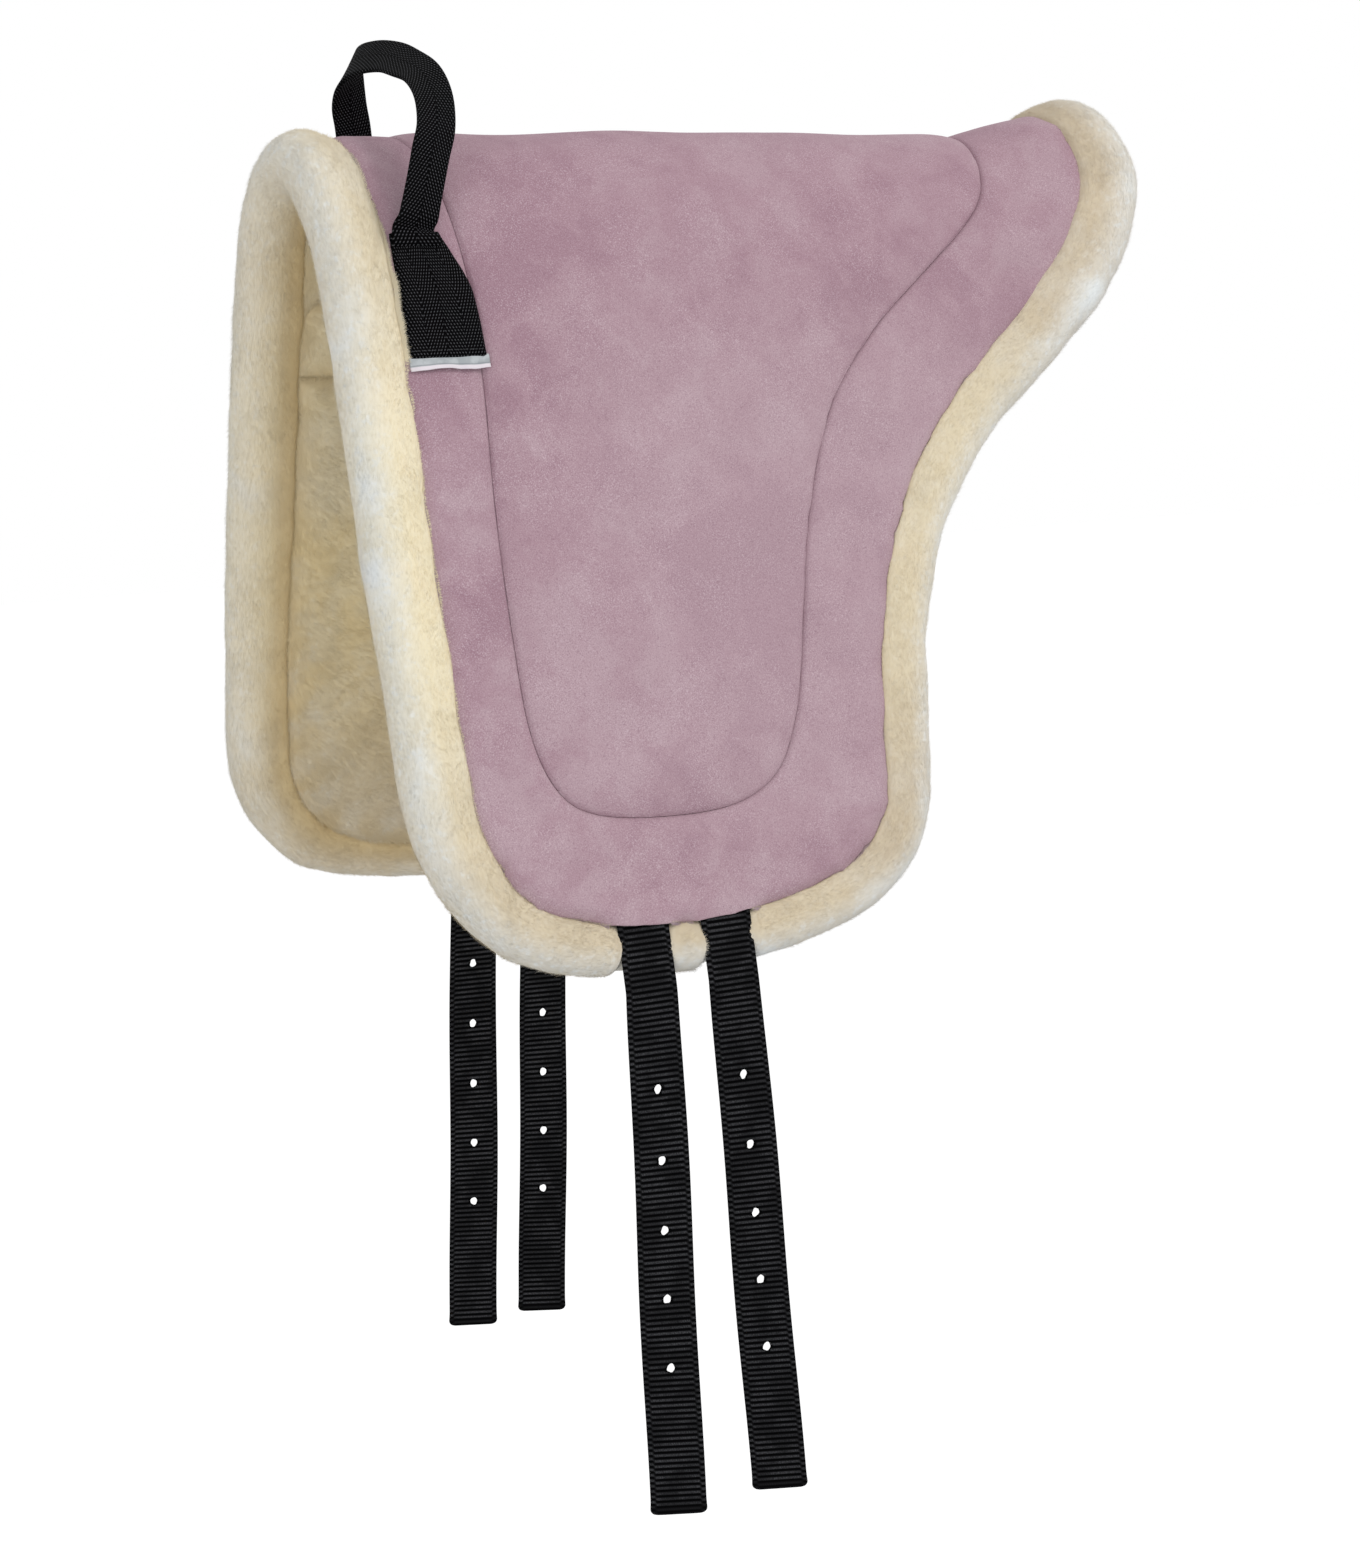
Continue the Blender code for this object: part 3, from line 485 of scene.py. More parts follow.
def weaveFlows(made):
    # the webbing's own places in metres, across it from its middle line and along it, and threads
    place = made.node("ShaderNodeUVMap", {"uv_map": "weave"})
    return (made.axis(place, 0), made.axis(place, 1),
            made.noise(made.where, webbingLook["threadScale"], 2.0, 0.6))


def wave(flow, pitch):
    # 0 to 1 and back over each pitch
    return (flow * (2 * math.pi / pitch)).maths("SINE") * 0.5 + 0.5


def ribbedWebbing(name):
    # cross ribs are in the mesh; this adds their slanted yarns, painted shade in the rib troughs
    # and between the yarns, and a painted highlight on the rib tops, broken up by the thread noise
    look = webbingLook
    made = Finish(name, {"Specular IOR Level": 0.02})
    across, along, threads = weaveFlows(made)
    blotch = made.ramp(made.noise(made.where, 60.0, 2.0), 0.38, 0.60) * 0.6 + 0.4
    rib = made.field("along")
    yarns = wave(across + along * 0.45, look["yarnPitch"])
    # breaks up the painted highlight on the rib tops
    fluff = (made.ramp(threads, 0.38, 0.64) * 0.7 + 0.3) * blotch
    # painted shade in the rib troughs and between the yarns, painted highlight on the rib tops
    colour = made.layers(look["gap"], (look["yarn"], made.ramp(rib, 0.20, 0.60)),
                         (look["dust"], made.ramp(rib, 0.50, 0.90) * fluff * 0.85),
                         (look["gap"], made.ramp(yarns, 0.45, 0.0) * 0.45))
    return made.finishWith(colour=colour, roughness=threads * 0.2 + 0.55,
                           normal=made.bump(yarns * 0.7 + threads * 0.3, 0.6, 0.0003))


def twillWebbing(name):
    # herringbone: steep ridges that turn back at each column's edge, with painted shade between
    # them and a painted highlight on their tops, broken up by the thread noise
    look = webbingLook
    made = Finish(name, {"Specular IOR Level": 0.02})
    across, along, threads = weaveFlows(made)
    zigzag = across.maths("PINGPONG", look["twillColumn"])
    ridge = wave(zigzag * (look["twillAlong"] / look["twillAcross"]) + along, look["twillAlong"])
    # breaks up the painted highlight on the ridge tops
    fluff = made.ramp(threads * 0.5 + wave(along, look["twillBead"]) * 0.5, 0.45, 0.70)
    # painted shade between the ridges, painted highlight on their tops
    colour = made.layers(look["gap"], (look["yarn"], made.ramp(ridge, 0.4, 0.8) * 0.40),
                         (look["paintedRidgeHighlight"], made.ramp(ridge, 0.62, 0.92) * fluff * 0.45),
                         (look["gap"], made.ramp(zigzag, 0.0008, 0.0) * 0.5))
    return made.finishWith(colour=colour, roughness=threads * 0.25 + 0.50,
                           normal=made.bump(ridge * 0.8 + threads * 0.2, 0.7, 0.0004))


labelLook = {"satin": (0.35, 0.375, 0.39), "shine": (0.46, 0.485, 0.50),
             "fold": (0.20, 0.21, 0.23), "hem": (0.72, 0.66, 0.70)}


def labelCloth(name):
    # grey satin with painted sheen in random patches, painted shade along its fold and a paler hem
    # along its lower edge
    look = labelLook
    made = Finish(name, {"Specular IOR Level": 0.3, "Sheen Weight": 0.1})
    along = made.field("along")
    weave = made.noise(made.where, 1400.0, 1.0)
    crease = made.ramp(made.noise(made.where, 160.0, 2.0, 0.5, 0.5), 0.35, 0.65)
    fold = made.ramp(along, 0.56, 0.64) * made.ramp(along, 0.72, 0.66) * 0.6
    # painted sheen by the crease noise, and painted shade along the fold
    colour = made.layers(look["satin"], (look["shine"], crease), (look["fold"], fold),
                         (look["hem"], made.ramp(along, 0.68, 0.76)))
    return made.finishWith(colour=colour, roughness=weave * 0.2 + 0.45,
                           normal=made.bump(weave, 0.4, 0.0002))


def stitchThread(name):
    made = Finish(name, {"Specular IOR Level": 0.3})
    fluff = made.noise(made.where, 2500.0, 2.0)
    colour = made.mix((0.004, 0.004, 0.005), (0.045, 0.045, 0.050), made.ramp(fluff, 0.4, 0.7))
    return made.finishWith(colour=colour, roughness=fluff * 0.3 + 0.4)


finishes = {
    "seat": suede("seatSuede", (0.0, 0.0, 0.0)), "border": suede("borderSuede", (0.4, 0.2, 0.1)),
    "fuzz": suede("edgeSuede", (0.1, 0.3, 0.2), 0.45),
    "roll": plush("rollPlush", 0.0, 0.20, 0.48), "lining": plush("liningPlush", 0.48, 0.45, 0.0),
    "ribbed": ribbedWebbing("girthWebbing"), "twill": twillWebbing("handleWebbing"),
    "label": labelCloth("blankLabel"), "thread": stitchThread("blackThread"),
}


def dress(piece, finish, body, replaced=()):
    piece.data.materials.append(finishes[finish])
    if body:
        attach(piece, body)
    if replaced:
        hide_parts(*replaced)


# Suede panels

cover = {"borderHeight": 0.0174, "crown": 0.0024, "crownWidth": 0.014, "grooveDepth": 0.0040,
         "grooveWidth": 0.009, "seamRound": 0.0027, "seamGap": 0.00006, "innerHeight": 0.003,
         "overlapShare": 0.84, "restShare": 0.67, "edgeRun": 0.010, "edgeThickness": 0.0013,
         "edgeRound": 0.0006, "strapFall": 0.0015, "ragged": 0.0007, "swell": 0.0008,
         "tailInset": 0.0022, "swellSize": 0.09, "rootRise": 0.0006, "rootTop": 0.0146,
         "shallowDrop": 0.060, "shallowFrom": -0.12, "shallowRun": 0.05, "shallower": 0.8}
strapPlaces = {"front_left": (-0.143, -1), "rear_left": (-0.086, -1),
               "front_right": (-0.082, 1), "rear_right": (-0.025, 1)}


def radiusNear(points):
    # the roll's radius at the outline's nearest point
    return edgeRadius[::3][nearest(points, edgePath[::3])[1]]


# shares of the way from the seam to the cut edge, close together at both
ringShares = np.array([0, .004, .01, .018, .028, .042, .062, .09, .13, .18, .26, .35, .45, .55,
                       .65, .72, .78, .83, .875, .91, .94, .962, .98, .991, .997, 1])


def towardsTail(x):
    return clamped((x - pad["tailFrom"]) / pad["tailRun"])


def roundedDown(distance, radius):
    # how far a quarter-round edge has fallen at a distance inside it
    left = clamped(1 - distance / radius)
    return radius * (1 - np.sqrt(1 - left ** 2))


def softDown(distance, radius):
    # a gentler edge beside a seam: a parabola's arc
    return 0.6 * radius * clamped(1 - distance / radius) ** 2


def overStraps(points, margin, run, top=None):
    # 1 at the girth straps, falling to 0 within the run beyond the margin: over their sewn ends
    # from the top down, or beside them along the whole lower edge
    over = 0
    for x, sign in strapPlaces.values():
        drop = sign * points[..., 1]
        beside = (np.abs(points[..., 0] - x) - strapLook["width"] / 2 - margin) / run
        above = drop <= pad["levelDrop"] if top is None else (top - margin - drop) / run
        over = np.maximum(over, clamped(1 - np.maximum(beside, above)))
    return over * over * (3 - 2 * over)


def overRoots(points, margin, run):
    top = pad["flapDrop"] - pad["rollRadius"] - strapLook["tuck"]
    return overStraps(points, margin, run, top)


def grooveAt(points):
    # the seam's groove, shallow where it crosses the spine in front
    top = (np.exp(-(points[..., 1] / cover["shallowDrop"]) ** 2)
           * clamped((cover["shallowFrom"] - points[..., 0]) / cover["shallowRun"]))
    return cover["grooveDepth"] * (1 - cover["shallower"] * top)


def edgeFall(points, fromEdge):
    # the suede turns down onto the roll at its outer edge, but less where it passes over a strap
    over = overRoots(points, 0.001, 0.010)
    deepest = cover["borderHeight"] - cover["restShare"] * radiusNear(points)
    deepest = deepest * (1 - over) + cover["strapFall"] * over
    return deepest * clamped(1 - fromEdge / cover["edgeRun"]) ** 2


def seatPanel(levels):
    # crowned inside its seam, and pulled down to it
    edges = sideEdges(inset(seamPath, cover["seamGap"]), seamCorners, columnShares, levels)
    flat = bothSides(sideGrid(edges, columnShares))
    away = nearest(flat, seamPath)[0]
    crown = cover["crown"] + grooveAt(flat)
    height = (cover["borderHeight"] + cover["crown"] - crown * np.exp(-away / cover["crownWidth"])
              - softDown(away, cover["seamRound"])
              + cover["swell"] * waves(flat, cover["swellSize"], 3) * clamped(away / 0.04))
    seat = slab("seatPanel", onPad(flat, height), onPad(flat, cover["innerHeight"]),
                cellFaces(*flat.shape[:2]))
    dress(seat, "seat", "pad", ("seat_cover", "seat_foam"))


def borderPanel(levels):
    # rings from the seam to the ragged cut edge, which turns down onto the roll
    inner = inset(seamPath, -cover["seamGap"])
    wavy = cover["ragged"] * (waves(edgePath, 0.022, 21) + 0.5 * waves(edgePath, 0.008, 22))
    calm = (edgePath[:, 1] > pad["levelDrop"]) & (np.abs(edgePath[:, 0] + 0.085) < 0.085)
    outer = inset(edgePath, edgeRadius * cover["overlapShare"] + wavy * np.where(calm, 0.3, 1)
                  + cover["tailInset"] * towardsTail(edgePath[:, 0]))
    inner, outer = (sideLoop(sideEdges(path, corners, columnShares, levels))
                    for path, corners in ((inner, seamCorners), (outer, edgeCorners)))
    inner, outer = (np.concatenate([half, half[-2:0:-1] * (1, -1)]) for half in (inner, outer))
    flat = inner[:, None] * (1 - ringShares[:, None]) + outer[:, None] * ringShares[:, None]
    width = np.linalg.norm(outer - inner, axis=1)[:, None]
    fromSeam, fromEdge = width * ringShares, width * (1 - ringShares)
    swell = clamped(fromSeam / 0.02) * clamped(fromEdge / 0.02)
    height = (cover["borderHeight"] - grooveAt(flat) * np.exp(-fromSeam / cover["grooveWidth"])
              - softDown(fromSeam, cover["seamRound"])
              - roundedDown(fromEdge, cover["edgeRound"]) - edgeFall(flat, fromEdge)
              + cover["swell"] * waves(flat, cover["swellSize"], 5) * swell
              + cover["rootRise"] * overRoots(flat, -0.001, 0.002))
    edgeUnder = height - cover["edgeThickness"]
    under = (edgeUnder - cover["innerHeight"]) * clamped(2 - fromEdge / 0.004)
    under = np.maximum(cover["innerHeight"] + under,
                       overRoots(flat, 0.001, 0.003) * cover["rootTop"])
    border = slab("borderPanel", onPad(flat, height), onPad(flat, np.minimum(under, edgeUnder)),
                  cellFaces(*flat.shape[:2], closedRows=True))
    dress(border, "border", "pad", ("border_cover", "border_foam"))
    return flat, height


edgePile = {"outside": 0.0008, "inside": 0.0003, "up": 0.0002, "anchorDrop": 0.118,
            "anchorReach": 0.043, "anchorMargin": 0.02, "anchorLonger": 1.2, "anchorDenser": 5,
            "tailLonger": 0.7, "tailWaves": 0.012, "coatBlades": 22000, "coatSize": 0.60,
            "fuzzBlades": 26000, "fuzzSize": 0.42, "lean": 0.85}


def edgeCoat(flat, height):
    # short pile and suede fluff along the cut edge, on a strip that follows the suede's own slope;
    # longer and closer beside the anchors, longer at the tail, and none over the straps
    look, rim = edgePile, flat[:, -1]
    edge = onPad(rim, height[:, -1])
    inwards = unit(onPad(flat[:, -6], height[:, -6]) - edge)
    upright = squareTo(padUpright(rim), inwards)
    strip = np.stack([edge - inwards * look["outside"],
                      edge + inwards * look["inside"] + upright * look["up"]], 1)
    rim, strip, inwards, upright = (np.concatenate([a, a[:1]])
                                    for a in (rim, strip, inwards, upright))
    anchorSide = ((rim[:, 0] < handle["front"] + look["anchorMargin"])
                  & (np.abs(np.abs(rim[:, 1]) - look["anchorDrop"]) < look["anchorReach"]))
    tailSide = look["tailLonger"] * towardsTail(rim[:, 0])
    tuft = (1 + look["anchorLonger"] * anchorSide
            + tailSide * (1 + waves(rim, look["tailWaves"], 33)))
    weight = 1 - overRoots(rim, 0.002, 0.003)
    tuft, dense, weight, upright = (
        np.repeat(a[:, None], 2, 1)
        for a in (np.maximum(tuft, 0.4), weight * (1 + look["anchorDenser"] * anchorSide),
                  weight, upright))
    strip = strip + upright * look["up"]
    coat = layPile("edgePile", strip, upright, look["coatBlades"], 200, weight=dense, short=tuft,
                   size=look["coatSize"], lean=look["lean"], fall=inwards[:, None])
    fuzz = layPile("edgeFuzz", strip + upright * look["up"], upright, look["fuzzBlades"], 230,
                   weight=weight, size=look["fuzzSize"], lean=look["lean"],
                   fall=-inwards[:, None])
    dress(fuzz, "fuzz", "pad")
    dress(coat, "roll", "pad")


def suedePanels():
    levels = np.linspace(0, pad["levelDrop"], grid["rows"])
    seatPanel(levels)
    edgeCoat(*borderPanel(levels))


# Plush: a smooth base and a coat of pile over it

pile = {"length": 0.0042, "width": 0.00028, "lean": math.radians(74), "spread": 0.30,
        "rootDepth": 0.0004, "height": 0.0014, "guardShare": 0.03, "guardLength": 1.3,
        "guardLean": 0.85, "wander": 0.15, "wanderSize": 0.060, "tuft": 0.05, "tuftSize": 0.012,
        "leanSpread": 0.06, "leanWaves": (0.04, 0.02), "lengthWaves": (0.10, 0.05),
        "lengths": (0.65, 1.15), "halfWidths": (0.35, 0.65), "tilts": (0.15, 1.42),
        "clumpSize": 0.016, "fineClumpSize": 0.006, "bladeShare": 0.07}


def gridNormals(points, outwards, closedColumns=False):
    # unit normals from the cross product of the grid's two tangents, on the outward side
    along = np.gradient(points, axis=0)
    if closedColumns:
        across = np.roll(points, -1, 1) - np.roll(points, 1, 1)
    else:
        across = np.gradient(points, axis=1)
    normal = unit(np.cross(across, along))
    return normal * np.sign((normal * outwards).sum())


def layPile(name, points, normals, count, seed, weight=1.0, closedColumns=False, short=1.0,
            deep=0.0, outer=0.0, fall=(0, 0, 0), size=1.0, lean=1.0, clumps=0.045):
    # blades rooted at random places of a grid, by area: each leans from the normal towards the
    # pile's own direction, one for the piece or one for each place, and wanders with smooth noise
    rng = np.random.default_rng(seed)
    fall = np.broadcast_to(np.asarray(fall, float), points.shape)
    fields = [np.broadcast_to(field, points.shape[:2]) for field in (weight, short, deep, outer)]
    if closedColumns:
        points, normals, *fields = (np.concatenate([a, a[:, :1]], 1)
                                    for a in (points, normals, *fields))
    weight, short, deep, outer = fields
    rows, columns = points[1:, :-1] - points[:-1, :-1], points[:-1, 1:] - points[:-1, :-1]
    area = np.linalg.norm(np.cross(columns, rows), axis=-1) * weight[:-1, :-1]
    cells = rng.choice(area.size, count, p=(area / area.sum()).ravel())
    i, j = np.unravel_index(cells, area.shape)
    a, b = rng.random((2, count, 1))

    def at(field):
        return ((field[i, j] * (1 - b) + field[i, j + 1] * b) * (1 - a)
                + (field[i + 1, j] * (1 - b) + field[i + 1, j + 1] * b) * a)

    root, normal = at(points), unit(at(normals))
    short, deep, outer = (at(field[..., None]) for field in (short, deep, outer))
    flow = (fall[i, j] + pile["wander"] * threeWaves(root, pile["wanderSize"], seed)
            + pile["tuft"] * threeWaves(root, pile["tuftSize"], seed + 10)
            + pile["spread"] * rng.normal(size=(count, 3)))
    flow = squareTo(flow, normal)
    leanWave, lengthWave = (amount * waves(root, wide, seed + more)[:, None]
                            for (amount, wide), more in ((pile["leanWaves"], 5),
                                                         (pile["lengthWaves"], 7)))
    tilt = 1 + pile["leanSpread"] * rng.normal(size=(count, 1)) + leanWave
    tilt = pile["lean"] * lean * tilt
    length = pile["length"] * size * rng.uniform(*pile["lengths"], (count, 1))
    length = length * (1 + lengthWave) * short
    # a few guard hairs stand longer and steeper
    guard = rng.random((count, 1)) < pile["guardShare"]
    length = np.where(guard, length * pile["guardLength"], length)
    tilt = np.clip(np.where(guard, tilt * pile["guardLean"], tilt), *pile["tilts"])
    way = normal * np.cos(tilt) + flow * np.sin(tilt)
    half = unit(np.cross(way, normal)) * pile["width"]
    half = half * rng.uniform(*pile["halfWidths"], (count, 1))
    base = root - normal * pile["rootDepth"]
    corners = np.stack([base - half, base + half, root + way * length], 1)
    mesh = bpy.data.meshes.new(name)
    mesh.from_pydata(corners.reshape(-1, 3), [], np.arange(count * 3).reshape(-1, 3))
    # the bake's map: each blade is a few pixels wide where it is rooted
    place = np.stack([(i + a[:, 0]) / area.shape[0], (j + b[:, 0]) / area.shape[1]], -1)
    place = 0.006 + 0.98 * place[:, None] + 0.0016 * np.array([(-1, 0), (1, 0), (0, 2.5)])
    addData(mesh, {"OFBake": place}, {"along": np.tile([0.0, 0.0, 1.0], count),
                                      "deep": np.repeat(deep, 3), "outer": np.repeat(outer, 3)})
    mesh.shade_smooth()
    # the normals waver in clumps, which shade the coat softly
    clump = (threeWaves(root, pile["clumpSize"], seed + 20)
             + 0.5 * threeWaves(root, pile["fineClumpSize"], seed + 30))
    soft = unit(normal * (1 - pile["bladeShare"]) + way * pile["bladeShare"] + clumps * clump)
    mesh.normals_split_custom_set_from_vertices(np.repeat(soft, 3, 0).astype(np.float32))
    return addObject(name, mesh)


roll = {"step": 0.004, "fineStep": 0.0010, "around": 48, "lumps": 0.022, "lumpSize": 0.07,
        "ripples": 0.010, "rippleSize": 0.024, "squeezeMargin": 0.0018, "squeezeRun": 0.0034,
        "squeezeShift": 0.0017, "shortMargin": 0.0030, "shortRun": 0.0030,
        "squeezedRadius": 0.0127, "ends": 7, "tailPlump": 0.15, "baseShade": 0.55,
        "shoulder": 0.16, "shoulderAt": 0.80, "shoulderWidth": 0.22, "endRound": 0.55,
        "creaseShade": 0.48, "underShade": 0.28, "seamReach": 0.0008,
        "betweenBlades": 9000, "frontBlades": 175000, "rearBlades": 195000}


def rollTube(name, nodes, path, count, seed, pileWay=1):
    # a tube along a path in the pad's coordinates: rings square to it, round ends, soft lumps
    flat, radius, inward = path
    pressed = overStraps(flat, roll["squeezeMargin"], roll["squeezeRun"])
    beside = overStraps(flat, roll["shortMargin"], roll["shortRun"])
    radius = radius * (1 - pressed) + roll["squeezedRadius"] * pressed
    radius = radius * (1 + roll["tailPlump"] * towardsTail(flat[:, 0]))
    radius = radius - pile["height"] * (1 - 0.5 * pressed)
    shift = -roll["squeezeShift"] * pressed
    centre, upright = onPad(flat, shift), padUpright(flat)
    inward = onPad(flat + inward * 0.001, shift) - centre
    along = unit(np.gradient(centre, axis=0))
    turn = np.linspace(0, np.pi / 2, roll["ends"] + 1)[1:]
    kept = (centre, along, upright, inward, radius, beside)
    for end, direction in ((0, -1), (-1, 1)):  # half balls at both ends
        reach = (radius[end] * roll["endRound"] * np.sin(turn))[:, None]
        extra = [np.repeat(k[[end]], roll["ends"], 0) for k in kept]
        extra[0] = centre[end] + direction * along[end] * reach
        extra[4] = radius[end] * np.cos(turn)
        kept = [np.concatenate([e[::-1], k]) if end == 0 else np.concatenate([k, e])
                for e, k in zip(extra, kept)]
    centre, along, upright, inward, radius, beside = kept
    inward, upright = squareTo(inward, along), squareTo(upright, along)
    sideways = unit(np.cross(along, upright))
    angle = np.linspace(0, 2 * np.pi, roll["around"], endpoint=False)[:, None]
    ring = np.cos(angle) * upright[:, None] + np.sin(angle) * sideways[:, None]
    bare = centre[:, None] + ring * radius[:, None, None]
    lumps = (1 + roll["lumps"] * waves(bare, roll["lumpSize"], seed)
             + roll["ripples"] * waves(bare, roll["rippleSize"], seed + 1))
    # fuller shoulders where the suede and the lining lie against the roll
    facing = (ring * inward[:, None]).sum(-1)
    shoulder = np.exp(-((facing - roll["shoulderAt"]) / roll["shoulderWidth"]) ** 2)
    full = radius[:, None] * lumps * (1 + roll["shoulder"] * shoulder)
    points = centre[:, None] + ring * full[..., None]
    # painted shade: yellower in the crease where the roll meets the lining, and a little on its
    # whole underside
    lower = (ring * unit(inward * 0.80 - upright * 0.60)[:, None]).sum(-1)
    under = clamped(0.5 - (ring * upright[:, None]).sum(-1))
    deep = roll["creaseShade"] * clamped((lower - 0.62) / 0.38) ** 1.3
    deep = np.clip(deep + roll["underShade"] * under, 0, 0.85)
    # painted cool highlight on the roll's outer side, wider towards the tail
    outer = clamped((0.1 + 0.35 * towardsTail(centre[:, :1]) - facing) / 0.9)
    shade = np.full(deep.shape, roll["baseShade"])
    base = makeObject(name, points, cellFaces(*points.shape[:2], closedColumns=True),
                      fields={"along": shade, "deep": deep, "outer": outer}, merge=1e-6)
    coat = layPile(name + "Pile", points, gridNormals(points, ring, True), count, seed + 2,
                   weight=clamped((0.95 - facing) / 0.08),
                   short=(1 - 0.70 * beside)[:, None], deep=deep, outer=outer,
                   closedColumns=True, fall=(along * pileWay)[:, None])
    dress(base, "roll", "pad", nodes)
    dress(coat, "roll", "pad")


def rollPath(start, end, sign):
    # evenly spaced points of the outline between two ways along it, closer beside the straps
    way = wayAlong(edgePath)
    xs = [place for place, side in strapPlaces.values() if side == sign]
    fine = np.arange(start, end, roll["fineStep"])
    x, drop = pathAt(fine, way, edgePath).T
    near = (drop > pad["levelDrop"]) & (x > min(xs) - 0.04) & (x < max(xs) + 0.04)
    stride = int(roll["step"] / roll["fineStep"])
    at = np.append(fine[near | (np.arange(len(fine)) % stride == 0)], end)
    flat = pathAt(at, way, edgePath)
    along = unit(np.gradient(flat, axis=0))
    inward = np.stack([along[:, 1], -along[:, 0]], -1)
    return flat * (1, sign), np.interp(at, way, edgeRadius), inward * (1, sign)


def rolls():
    way = wayAlong(edgePath)
    low = (edgePath[:, 1] > pad["levelDrop"]) & (edgePath[:, 0] < 0)
    low = low & (np.arange(len(edgePath)) > edgeCorners[0] * pad["curveSteps"])
    front, rear = [], []
    for side, sign in (("left", -1), ("right", 1)):
        first, last = (np.interp(strapPlaces[end + side][0], edgePath[low, 0], way[low])
                       for end in ("front_", "rear_"))
        front.append(rollPath(0, first, sign))
        rear.append(rollPath(last, way[-1], sign))
        rollTube("rollBetween" + side.capitalize(), ("edge_roll_between_" + side,),
                 rollPath(first + roll["seamReach"], last - roll["seamReach"], sign),
                 roll["betweenBlades"], 40 + sign)
    path = [np.concatenate([a[:0:-1], b]) for a, b in zip(*front)]
    rollTube("rollFront", ("edge_roll_front",), path, roll["frontBlades"], 60)
    path = [np.concatenate([b, a[-2::-1]]) for a, b in zip(*rear)]
    rollTube("rollRear", ("edge_roll_rear",), path, roll["rearBlades"], 80, -1)


lining = {"edgeHeight": -0.0126, "fullHeight": -0.0160, "topHeight": -0.0035, "pillow": 0.012,
          "spineSeam": 0.109, "panelWidth": 0.057, "cornerDrop": 0.018, "cornerRun": 0.010,
          "seamGap": 0.0002, "overlapShare": 0.86, "seamRound": 0.0022, "swell": 0.0010,
          "swellSize": 0.040, "seamFlow": 0.010, "seamShade": 0.46, "seamShadeRun": 0.012,
          "tuftRun": 0.022, "tuftSize": 0.035, "bladeSize": 1.25, "bladeLean": 0.90,
          "seamLonger": 0.4, "seamDenser": 3, "clumps": 0.012, "tuftFrom": 0.2, "tuftBelow": 0.25,
          "fall": np.array([1.2, 0, -0.8]), "rimPull": 3.0,
          "spineBlades": 120000, "upperBlades": 32000, "flapBlades": 130000}


def towardsRim(points):
    # a grid's outward directions beside its edges, which fade with the way from each edge
    flow = 0
    for axis in (0, 1):
        step = np.gradient(points, axis=axis)
        way = np.cumsum(np.linalg.norm(step, axis=-1), axis=axis)
        left = way.max(axis=axis, keepdims=True) - way
        pull = np.exp(-left / lining["seamFlow"]) - np.exp(-way / lining["seamFlow"])
        flow = flow + unit(step) * pull[..., None]
    return flow


def liningPanel(name, flat, node, count, seed):
    # a plump panel: its lower skin bulges away from its seams, and pile covers that skin
    away = nearest(flat, np.concatenate([flat[0], flat[-1], flat[:, 0], flat[:, -1]]))[0]
    bulge = lining["fullHeight"] - lining["edgeHeight"]
    swell = lining["swell"] * waves(flat, lining["swellSize"], seed) * clamped(away / 0.03)
    height = (lining["edgeHeight"] + bulge * (1 - np.exp(-away / lining["pillow"])) - swell
              + softDown(away, lining["seamRound"]))
    below, above = onPad(flat, height), onPad(flat, lining["topHeight"])
    # painted shade, yellow, beside the lining's seams
    deep = 0.02 + lining["seamShade"] * np.exp(-(away / lining["seamShadeRun"]) ** 1.5)
    # paler tufts beside the seams, most of them low on the flaps
    tufts = (np.exp(-(away / lining["tuftRun"]) ** 2)
             * clamped(0.3 + waves(flat, lining["tuftSize"], seed + 3))
             * np.clip((np.abs(flat[..., 1]) - lining["tuftFrom"]) / lining["tuftBelow"],
                       0.25, 1) * 0.6)
    base = slab(name, above, below, cellFaces(*flat.shape[:2]),
                {"along": np.full(deep.shape, roll["baseShade"]), "deep": deep, "outer": tufts})
    coat = layPile(name + "Pile", below, gridNormals(below, below - above), count, seed + 1,
                   deep=deep, short=1 + lining["seamLonger"] * np.exp(-away / 0.006),
                   weight=1 + lining["seamDenser"] * np.exp(-away / 0.005), outer=tufts,
                   clumps=lining["clumps"],
                   fall=lining["fall"] + lining["rimPull"] * towardsRim(below),
                   size=lining["bladeSize"], lean=lining["bladeLean"])
    dress(base, "lining", "pad", (node,))
    dress(coat, "lining", "pad")


